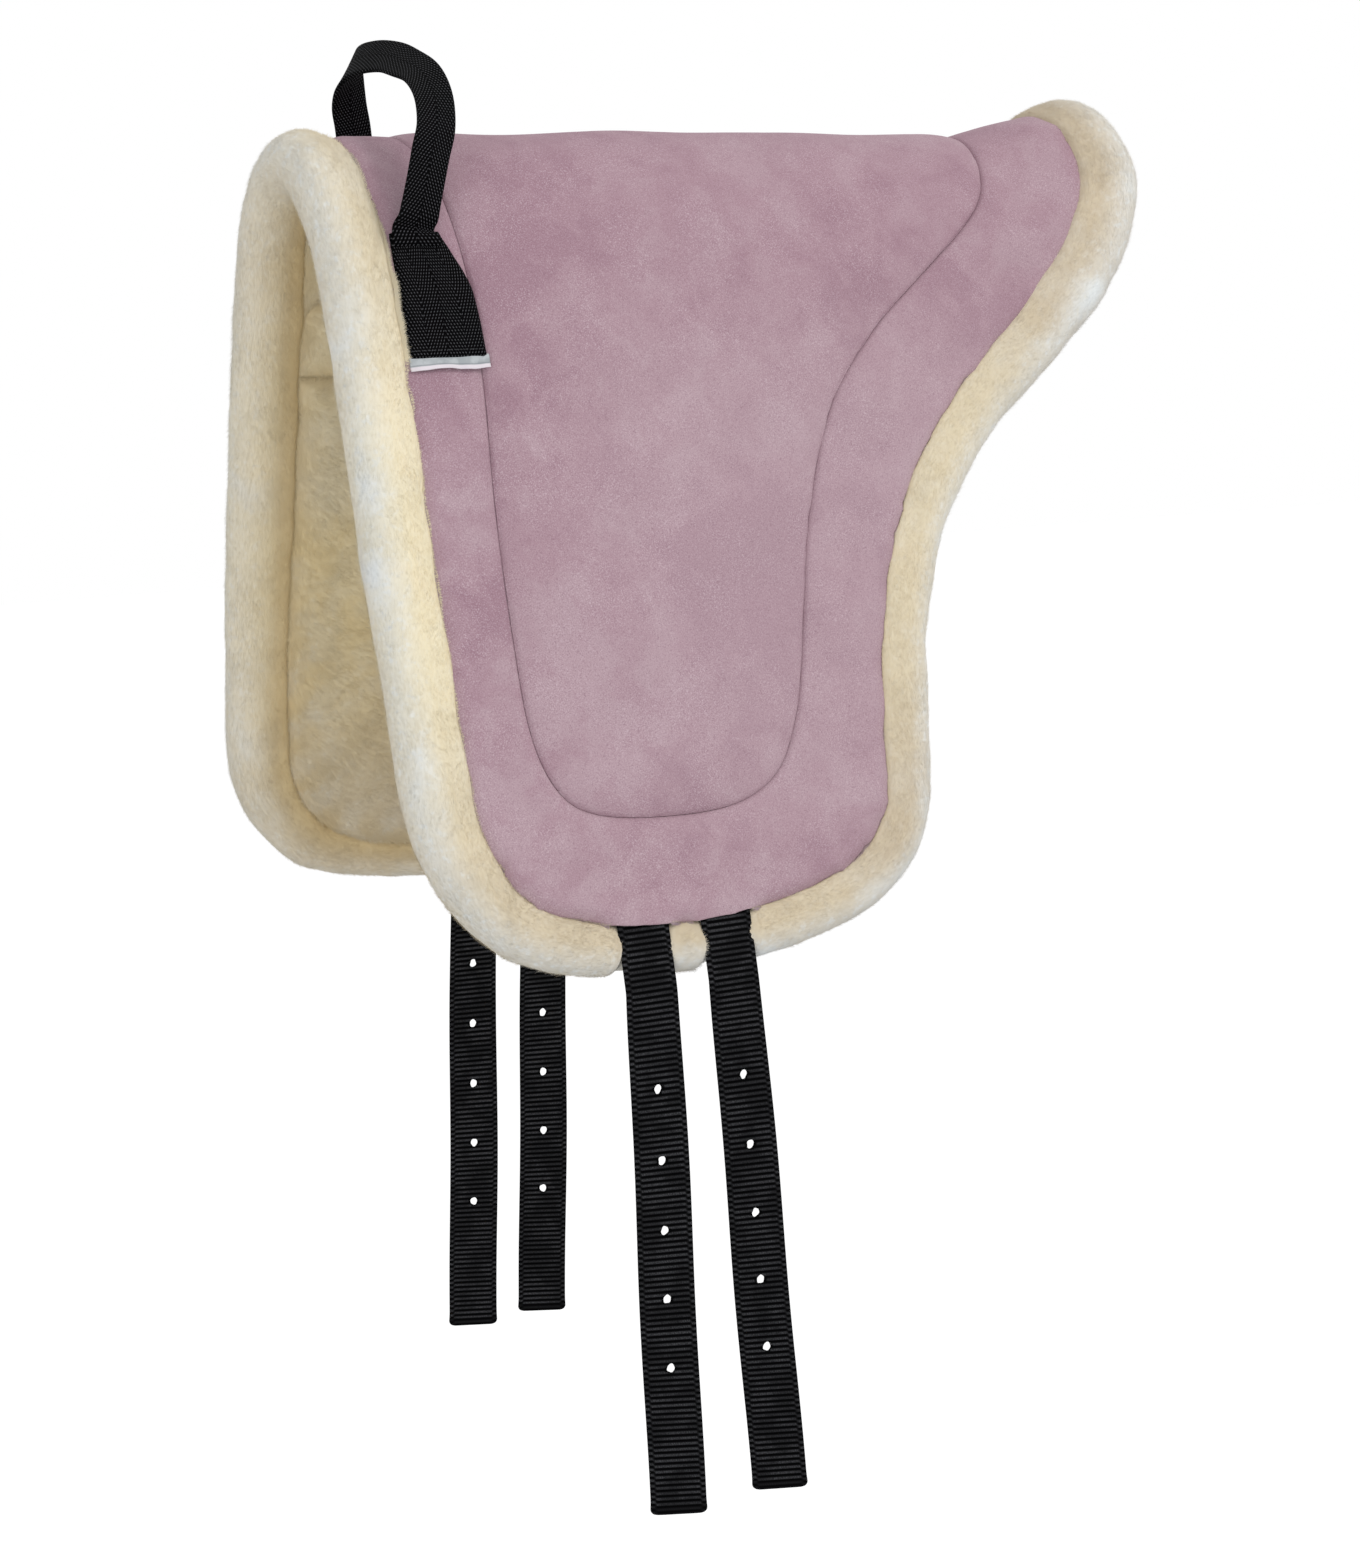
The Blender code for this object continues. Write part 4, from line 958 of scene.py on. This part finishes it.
def linings():
    outline = inset(edgePath, edgeRadius * lining["overlapShare"])
    front = outline[:edgeCorners[0] * pad["curveSteps"] + 1]
    rear = outline[edgeCorners[1] * pad["curveSteps"]:][::-1]
    seam, lower = lining["spineSeam"], lining["spineSeam"] + lining["panelWidth"]
    fine, last = grid["endSteps"], grid["endSteps"][-1]

    def rowsAt(drops):
        # rows across the pad, and how far each bends down at its front corner
        starts = np.interp(drops, front[:, 1], front[:, 0])[:, None]
        ends = np.interp(drops, rear[:, 1], rear[:, 0])[:, None]
        x = starts * (1 - columnShares) + ends * columnShares
        bend = lining["cornerDrop"] * np.exp(-(x - x[:, :1]) / lining["cornerRun"])
        return np.stack([x, np.broadcast_to(drops[:, None], x.shape)], -1), bend

    drops = np.concatenate([np.linspace(0, seam - last, 22)[:-1], seam - fine[::-1]])
    flat, bend = rowsAt(drops)
    flat[..., 1] += bend * clamped((drops / seam)[:, None]) ** 2 - lining["seamGap"]
    flat[0, :, 1] = 0
    liningPanel("liningSpine", bothSides(flat), "lining_spine", lining["spineBlades"], 100)
    drops = np.concatenate([seam + fine, np.linspace(seam + last, lower - last, 9)[1:-1],
                            lower - fine[::-1]])
    flat, bend = rowsAt(drops)
    flat[..., 1] += bend * clamped((lower - drops) / (lower - seam))[:, None]
    flat[0, :, 1] += lining["seamGap"]
    flat[-1, :, 1] -= lining["seamGap"]
    levels = np.concatenate([lower + fine, np.linspace(lower + last, pad["levelDrop"], 32)[1:]])
    flap = sideGrid(sideEdges(outline, edgeCorners, columnShares, levels), columnShares)
    flap[0, :, 1] += lining["seamGap"]
    for side, sign in (("Left", -1), ("Right", 1)):
        liningPanel("liningUpper" + side, flat * (1, sign), "lining_upper_" + side.lower(),
                    lining["upperBlades"], 120 + sign)
        liningPanel("liningFlap" + side, flap * (1, sign), "lining_flap_" + side.lower(),
                    lining["flapBlades"], 140 + sign)


# Girth straps

strapLook = {"width": 0.035, "thickness": 0.0024, "ribPitch": 0.0036, "ribDepth": 0.00055,
             "rowsPerRib": 8, "height": 0.0131, "tuck": 0.046, "belowRoll": 0.007,
             "length": 0.337, "rightExtra": 0.010, "firstHole": 0.0612, "holePitch": 0.0449,
             "holeCount": 5, "holeWidth": 0.0049, "holeTall": 1.28, "hem": 0.0065,
             "cornerRadius": 0.0042, "flare": 0.03, "edgeRound": 0.0013, "selvedge": 0.86,
             "holeSides": 28, "punchReach": 0.004, "blendReach": 0.004, "bow": 0.0022,
             "bendRun": 0.02, "bendRows": 31, "turnedBy": 0.8}
# how far each strap leans along the pad, and how far it turns towards its lower end
strapTurns = {"front_left": (1.8, -24), "rear_left": (4.6, -22),
              "front_right": (-1.9, -24), "rear_right": (-1.9, -26)}


def strapName(place):
    return "girthStrap" + "".join(word.capitalize() for word in place.split("_"))


def webbingTube(name, skin, ends, way, places, fields=None):
    # rings of a webbing section, closed at both ends, with its bake map and its own places
    points = np.concatenate([ends[0][None], skin, ends[1][None]])
    rows, columns = points.shape[:2]
    longWay = np.concatenate([way[:1], way, way[-1:]])[:, None] + np.zeros((1, columns))
    girth = np.arange(columns) / columns + 0 * longWay
    bake = 0.01 + 0.98 * np.stack([girth, longWay / longWay.max()], -1)
    weave = np.stack([places + 0 * longWay, longWay], -1)
    return makeObject(name, points, cellFaces(rows, columns, closedColumns=True),
                      {"OFBake": bake, "weave": weave}, fields, merge=1e-6)


def punchHoles(made, way, centre, across, normal, firstHole):
    # slightly uneven oval holes, cut by short prisms that stand square to the strap
    look, sides = strapLook, strapLook["holeSides"]
    shape, faces = [], []
    angle = np.linspace(0, 2 * np.pi, sides, endpoint=False)
    for i in range(look["holeCount"]):
        k = int(np.searchsorted(way, firstHole + i * look["holePitch"]))
        axes = np.stack([across[k], np.cross(normal[k], across[k]), normal[k]], -1)
        wobble = 1 + 0.05 * np.sin(3 * angle + i) + 0.03 * np.sin(5 * angle + 2 * i)
        ring = np.stack([np.cos(angle), look["holeTall"] * np.sin(angle)], -1) * wobble[:, None]
        ring = ring * look["holeWidth"] / 2
        rings = [np.concatenate([ring, np.full((sides, 1), z)], -1)
                 for z in (-look["punchReach"], look["punchReach"])]
        shape.append(np.concatenate(rings) @ axes.T + centre[k])
        start = 2 * sides * i
        faces += (cellFaces(2, sides, closedColumns=True) + start).tolist()
        faces += [list(range(start, start + sides)),
                  list(range(start + 2 * sides - 1, start + sides - 1, -1))]
    punch = makeObject("punch", np.concatenate(shape), faces)
    hole = made.modifiers.new("holes", "BOOLEAN")
    hole.operation, hole.solver, hole.object = "DIFFERENCE", "EXACT", punch
    bpy.context.view_layer.objects.active = made
    bpy.ops.object.modifier_apply(modifier=hole.name)
    bpy.data.objects.remove(punch)
    made.data.set_sharp_from_angle(angle=math.radians(60))


def girthStrap(place):
    # ribbed webbing: a cross-section carried down the strap, with ribs as waves of its thickness
    x, sign = strapPlaces[place]
    lean, twist = (math.radians(angle) for angle in strapTurns[place])
    look = strapLook
    extra = look["rightExtra"] if sign > 0 else 0
    topDrop = pad["flapDrop"] - pad["rollRadius"] - look["tuck"]
    hingeDrop = pad["flapDrop"] + pad["rollRadius"] * bottomShare + look["belowRoll"]
    rootLength = hingeDrop - topDrop
    total = rootLength + look["length"] + extra
    way = np.linspace(0, total, int(total / look["ribPitch"] * look["rowsPerRib"]))
    hang = np.clip(way - rootLength, 0, None)
    sewn = padPoint(x, sign * (topDrop + np.clip(way, 0, rootLength)), look["height"])
    centre = sewn + np.stack([hang * math.tan(lean), 0 * hang, -hang], -1)
    ease = clamped(1 - np.abs(way - rootLength) / look["bendRun"])[:, None]
    centre = centre * (1 - ease) + smoothed(centre, look["bendRows"]) * ease
    # a slow bend out and back, as a strap that was folded keeps
    down = clamped(hang / look["length"])
    centre[:, 1] += sign * look["bow"] * np.sin(down * np.pi * 1.6) ** 2
    turn = twist * clamped(down / look["turnedBy"]) ** 0.8
    across = np.stack([np.cos(turn), np.sin(turn), 0 * turn], -1)
    normal = unit(np.cross(across, unit(np.gradient(centre, axis=0))))
    normal = normal * np.where(normal[:, 1:2] * sign < 0, -1, 1)
    v = np.sort(np.concatenate([np.linspace(-1, 1, 17), [-0.97, -0.9, 0.9, 0.97]]))
    fromEnd = total - way
    corner = clamped(1 - fromEnd / look["cornerRadius"])
    half = look["width"] / 2 * (1 + look["flare"] * np.exp(-(fromEnd / 0.006) ** 2))
    half = half - look["cornerRadius"] * (1 - np.sqrt(1 - corner ** 2))
    # ribs run across; at the two selvedges they step by half a rib, and the hem presses them flat
    phase = way[:, None] / look["ribPitch"] + 0.5 * (np.abs(v) > look["selvedge"])
    rib = (0.5 + 0.5 * np.cos(2 * np.pi * phase)) ** 0.8
    pressed = clamped((look["hem"] - fromEnd) / 0.001)[:, None]
    rib = rib * (1 - 0.6 * pressed) + 0.2 * pressed
    inside = clamped((1 - np.abs(v)) * look["width"] / 2 / look["edgeRound"])
    body = np.sqrt(1 - (1 - inside) ** 2) * 0.9 + 0.1
    thick = (look["thickness"] / 2 - look["ribDepth"] * (1 - rib)) * body
    thick = (thick * (1 - 0.5 * corner[:, None] ** 3))[..., None] * normal[:, None]
    mid = centre[:, None] + across[:, None] * (v * half[:, None])[..., None]
    skin = np.concatenate([mid + thick, (mid - thick)[:, ::-1]], 1)
    ends = [np.concatenate([mid[row], mid[row][::-1]]) for row in (0, -1)]
    ribs = np.concatenate([rib, rib[:, ::-1]], 1)
    ribs = np.concatenate([ribs[:1], ribs, ribs[-1:]])
    made = webbingTube(strapName(place), skin, ends, way,
                       np.concatenate([v, v[::-1]]) * look["width"] / 2, {"along": ribs})
    punchHoles(made, way, centre, across, normal, rootLength + look["firstHole"] + extra)
    dress(made, "ribbed", None)
    hinge, reach = padPoint(x, sign * hingeDrop, look["height"]), (0, 0, look["blendReach"])
    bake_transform(made)
    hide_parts("strap_root_" + place, "girth_strap_" + place)


# Handle

handle = {"webbing": 0.050, "thickness": 0.0018, "front": -0.2475, "topDrop": 0.0835,
          "length": 0.0735, "gripWidth": 0.024, "gripThickness": 0.0036, "hingeX": -0.236,
          "hingeDrop": 0.085, "rise": 0.108, "lean": 0.030, "twist": math.radians(58),
          "footWidth": 0.0315, "footShift": 0.0032, "footRun": 0.014, "sewnGap": 0.0003,
          "stitchUp": 0.0042, "stitchPitch": 0.0034, "stitchLength": 0.0025,
          "stitchThickness": 0.00072, "groove": 0.0013, "anchorRows": 72, "gripRows": 240,
          "edgeRound": 0.0012, "ripple": 0.00025, "rippleSize": 0.02, "creaseLift": 0.0014}
# the anchor's width, as shares of the webbing's, from its sewn edge up to the crease
anchorTaper = ([0, 0.30, 0.57, 0.76, 1], [1, 0.985, 0.94, 0.82, 0.63])
# left to right: shares of the lean, of the half span, of the rise and of the twist
gripTable = [
    (0.00, -1.00, 0.00, 0.00), (0.17, -0.99, 0.13, 0.00), (0.35, -0.97, 0.29, 0.00),
    (0.53, -0.93, 0.44, 0.00), (0.77, -0.85, 0.59, 0.00), (0.95, -0.68, 0.76, 0.15),
    (1.00, -0.46, 0.89, 0.40), (0.93, -0.21, 0.96, 0.65), (0.87, 0.00, 1.00, 0.78),
    (0.73, 0.25, 1.01, 0.95), (0.65, 0.49, 0.98, 1.00), (0.78, 0.66, 0.89, 0.50),
    (0.90, 0.78, 0.76, 0.10), (1.03, 0.83, 0.63, 0.00), (1.10, 0.88, 0.47, 0.00),
    (0.90, 0.94, 0.31, 0.00), (0.47, 0.99, 0.15, 0.00), (0.00, 1.00, 0.00, 0.00),
]


def band(name, centre, across, normal, halfWidth, halfThick, groove, way):
    # a webbing section carried along a path: flat faces, round edges, and a groove between the
    # two layers along one edge where the webbing is folded double
    v = np.concatenate([[-1, -0.985, -0.95], np.linspace(-0.9, 0.9, 17), [0.95, 0.985, 1]])
    body = np.sqrt(clamped(1 - (clamped(np.abs(v) - 0.9) / 0.1) ** 2))
    body[[0, -1]] = 0.12
    mid = centre[:, None] + across[:, None] * (v * halfWidth[:, None])[..., None]
    thick = normal[:, None] * (halfThick[:, None] * body)[..., None]
    notch = mid[:, :1] + (across * (groove[:, None] * handle["groove"]))[:, None]
    skin = np.concatenate([mid + thick, (mid - thick)[:, ::-1], notch], 1)
    ends = [np.concatenate([mid[row], mid[row][::-1], notch[row]]) for row in (0, -1)]
    return webbingTube(name, skin, ends, way,
                       np.concatenate([v, v[::-1], [-1]]) * handle["webbing"] / 4)


borderEdge = inset(edgePath, edgeRadius * cover["overlapShare"])


def onSuede(x, drop, above):
    # a point just above the border, which falls away at its outer edge
    flat = np.stack(np.broadcast_arrays(x, drop), -1)
    fall = edgeFall(flat, nearest(flat, borderEdge)[0])
    return onPad(flat, cover["borderHeight"] + above - fall)


def anchors():
    # the webbing's flat ends, drawn in towards the crease where the loop leaves them
    shares = np.linspace(0, 1, handle["anchorRows"])
    drop = handle["topDrop"] + handle["length"] * (1 - shares)
    width = handle["webbing"] * smoothed(np.interp(shares, *anchorTaper), 11)
    v = np.linspace(-1, 1, 25)
    half = width[:, None] / 2
    x = handle["front"] + half * (1 + v)
    shares, drop = (np.broadcast_to(a[:, None], x.shape) for a in (shares, drop))
    edgeDown = roundedDown((1 - np.abs(v)) * half, handle["edgeRound"]) / handle["edgeRound"]
    endDown = np.exp(-shares / 0.006)
    ripple = handle["ripple"] * waves(np.stack([x, drop], -1), handle["rippleSize"], 31)
    lift = handle["sewnGap"] + handle["creaseLift"] * clamped((shares - 0.8) / 0.2) ** 2
    thick = handle["thickness"] * (1 - 0.75 * edgeDown - 0.7 * endDown) + ripple
    weave = np.stack([v * handle["webbing"] / 2 + 0 * x, shares * handle["length"]], -1)
    bake = np.stack([0.25 + 0.24 * v + 0 * x, 0.01 + 0.98 * shares], -1)
    for side, sign in (("Left", -1), ("Right", 1)):
        made = slab("handleAnchor" + side, onSuede(x, drop * sign, lift + thick),
                    onSuede(x, drop * sign, lift), cellFaces(*x.shape))
        addData(made.data, {"OFBake": np.stack([bake, bake + (0.5, 0)]),
                            "weave": np.stack([weave, weave])})
        dress(made, "twill", "pad", ("handle_anchor_" + side.lower(),))
        stitches("anchorStitches" + side, sign)


def stitches(name, sign):
    # a row of short threads near the anchor's lower edge: stretched balls along the row
    turn, tilt = np.meshgrid(np.linspace(0, 2 * np.pi, 8, endpoint=False),
                             np.linspace(-1.35, 1.35, 5))
    radius = handle["stitchThickness"] / 2
    x = np.arange(0.0025, 0.0480, handle["stitchPitch"])[:, None, None] + handle["front"]
    x = x + np.sin(tilt) * handle["stitchLength"] / 2
    drop = handle["topDrop"] + handle["length"] - handle["stitchUp"]
    drop = drop + np.cos(tilt) * np.cos(turn) * radius
    above = handle["sewnGap"] + handle["thickness"] + 0.00005
    above = above + np.cos(tilt) * np.sin(turn) * radius
    points = onSuede(x, sign * drop + 0 * x, above)
    caps = np.array([[0, 1, 2, 3], [0, 3, 4, 7], [4, 5, 6, 7]])
    each = np.concatenate([cellFaces(5, 8, closedColumns=True), caps, (caps + 32)[:, ::-1]])
    every = (each[None] + (np.arange(len(x)) * 40)[:, None, None]).reshape(-1, 4)
    dress(makeObject(name, points, every), "thread", "pad")


def grip():
    # the loop: the table's curve between two feet that curl in to meet the anchors' tops
    hingeX, hingeDrop = handle["hingeX"], handle["hingeDrop"]
    outside = cover["borderHeight"] + 2 * handle["sewnGap"] + handle["thickness"]
    halfSpan = (padPoint(hingeX, hingeDrop + handle["gripWidth"] / 2, outside)[1]
                + handle["gripThickness"] / 2)
    hingeUp = padPoint(hingeX, hingeDrop, outside)[2]
    path = smoothRows(gripTable, 12, np.array([0, 1, -1, 1]))
    twist = path[:, 3] * handle["twist"]
    path = path[:, :3] * (handle["lean"], halfSpan, handle["rise"]) + (hingeX, 0, hingeUp)
    keep = path[:, 2] > hingeUp + 0.010
    path, twist = path[keep], twist[keep]
    feet = [[padPoint(hingeX + 0.001, sign * (hingeDrop + far), outside + up)
             for far, up in ((0.0065, 0.0006), (0.0030, 0.0022), (-0.0025, 0.0030))]
            for sign in (-1, 1)]
    path = np.concatenate([feet[0], path, feet[1][::-1]])
    twist = np.concatenate([np.zeros(3), twist, np.zeros(3)])
    way = wayAlong(path)
    even = np.linspace(0, way[-1], handle["gripRows"])
    path, twist = pathAt(even, way, path), np.interp(even, way, twist)[:, None]
    path[4:-4] = smoothed(path, 9)[4:-4]
    along = unit(np.gradient(path, axis=0))
    outwards = unit(along[:, [0, 2, 1]] * (0, -1, 1))
    across = squareTo(np.cos(twist) * (1, 0, 0) + np.sin(twist) * outwards, along)
    fromEnd = np.minimum(even, even[-1] - even)
    foot = np.exp(-(fromEnd / handle["footRun"]) ** 1.6)
    path = path + foot[:, None] * (handle["footShift"], 0, 0)
    halfWidth = (handle["gripWidth"] + (handle["footWidth"] - handle["gripWidth"]) * foot) / 2
    halfThick = handle["gripThickness"] / 2 * (1 - 0.45 * np.exp(-fromEnd / 0.003))
    made = band("handleGrip", path, across, np.cross(across, along), halfWidth, halfThick,
                clamped(fromEnd / 0.01), even)
    dress(made, "twill", None)
    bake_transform(made)
    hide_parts("handle_grip")


labelStrip = {"height": 0.0062, "thickness": 0.0006, "tucked": 0.0015, "below": 0.0022,
              "inset": 0.0004, "wider": 1.02, "sway": 0.008, "dip": 0.0006, "gap": 0.0003,
              "lift": 0.0005, "ripple": 0.0004, "rippleSize": 0.014, "hemFrom": 0.7,
              "hemUp": 0.0003, "hemBead": 0.0002}


def label():
    # a blank strip that peeps out under the left anchor, a little rippled
    look = labelStrip
    u, w = np.meshgrid(np.linspace(0, 1, 60), np.linspace(0, 1, 22), indexing="ij")
    top = handle["topDrop"] + handle["length"] - look["tucked"]
    sway = look["sway"] * w * np.sin(7 * u)
    x = handle["front"] + look["inset"] + handle["webbing"] * (u * look["wider"] + sway)
    drop = top + (look["height"] + look["below"]) * w + look["dip"] * np.sin(9 * u + 1) * w
    ripple = look["ripple"] * waves(np.stack([x, drop], -1), look["rippleSize"], 9) * w
    hem = look["hemUp"] * (w > look["hemFrom"])
    hem = hem + look["hemBead"] * np.exp(-((w - 0.94) / 0.06) ** 2)
    above = look["gap"] + look["lift"] * w + ripple + hem
    made = slab("blankLabel", onSuede(x, -drop, above + look["thickness"]),
                onSuede(x, -drop, above), cellFaces(*x.shape), {"along": w})
    dress(made, "label", "pad", ("label_tab",))


suedePanels()
print("suede panels made")
rolls()
print("rolls made")
linings()
print("linings made")
for strapPlace in strapPlaces:
    girthStrap(strapPlace)
print("girth straps made")
anchors()
grip()
label()
print("handle made")


# Camera, lights and backdrop

view = {"place": (-0.94617, -1.68995, -0.03489), "right": (0.874186, -0.485243, -0.018392),
        "up": (0.102797, 0.147909, 0.983644), "forward": (0.474586, 0.861778, -0.179181),
        "focal": 2911.9, "pictureHeight": 1554, "sensor": 36}
camera = addObject("camera", bpy.data.cameras.new("camera"))
camera.data.sensor_width = view["sensor"]
camera.data.lens = view["focal"] * view["sensor"] / view["pictureHeight"]
axes = Matrix((view["right"], view["up"], -Vector(view["forward"]))).transposed()
camera.matrix_world = Matrix.Translation(view["place"]) @ axes.to_4x4()
camera.data.clip_end = 50
scene = bpy.context.scene
scene.camera = camera
scene.view_settings.view_transform = "Standard"

studio = {"worldStrength": 0.70, "floorDown": -1.9, "floorSize": 14, "floorGrey": 0.66,
          "floorGlow": 0.55, "target": (0, 0, -0.35),
          "lamps": [("keyLamp", (2.0, -2.8, 2.2), 1.2, 57, (1, 1, 1)),
                    ("fillLamp", (-2.2, -2.6, -0.1), 2.0, 27, (0.92, 0.96, 1)),
                    ("topLamp", (0.4, 0.4, 2.8), 2.0, 4, (1, 1, 1))]}


def whiteWorld():
    # white to the camera, in reflections and through glass, and a plain light on all else
    world = scene.world = bpy.data.worlds.new("studio")
    world.use_nodes = True
    world.node_tree.nodes.clear()
    made = Nodes(world.node_tree)
    camera, glossy, clear = (made.node("ShaderNodeLightPath", output=kind + " Ray")
                             for kind in ("Is Camera", "Is Glossy", "Is Transmission"))
    seen = camera.maths("MAXIMUM", glossy.maths("MAXIMUM", clear))
    strength = made.node("ShaderNodeMapRange", {},
                         {"Value": seen, "To Min": studio["worldStrength"], "To Max": 1.0})
    white = made.node("ShaderNodeBackground", {}, {"Color": (1, 1, 1), "Strength": strength})
    made.node("ShaderNodeOutputWorld", {}, {"Surface": white})


def floor():
    # pale, and brighter to the camera alone, so that it shows white and keeps the shadow
    far, down = studio["floorSize"], studio["floorDown"]
    mesh = bpy.data.meshes.new("floor")
    mesh.from_pydata([(-far, -far, down), (far, -far, down), (far, far, down), (-far, far, down)],
                     [], [(0, 1, 2, 3)])
    look = Finish("floorWhite", {"Base Color": (studio["floorGrey"],) * 3, "Roughness": 0.9})
    seen = look.node("ShaderNodeLightPath", output="Is Camera Ray")
    glow = look.node("ShaderNodeEmission", {}, {"Strength": seen * studio["floorGlow"]})
    both = look.node("ShaderNodeAddShader", {}, {0: Flow(look, look.shader.outputs[0]), 1: glow})
    look.put(look.tree.nodes["Material Output"].inputs["Surface"], both)
    mesh.materials.append(look.material)
    addObject("floor", mesh)


whiteWorld()
floor()
for name, place, size, power, tint in studio["lamps"]:
    lamp = addObject(name, bpy.data.lights.new(name, "AREA"))
    lamp.data.energy, lamp.data.size, lamp.data.color = power, size, tint
    lamp.location = place
    aim = Vector(studio["target"]) - lamp.location
    lamp.rotation_euler = aim.to_track_quat("-Z", "Y").to_euler()
print("studio made")

bpy.context.view_layer.update()
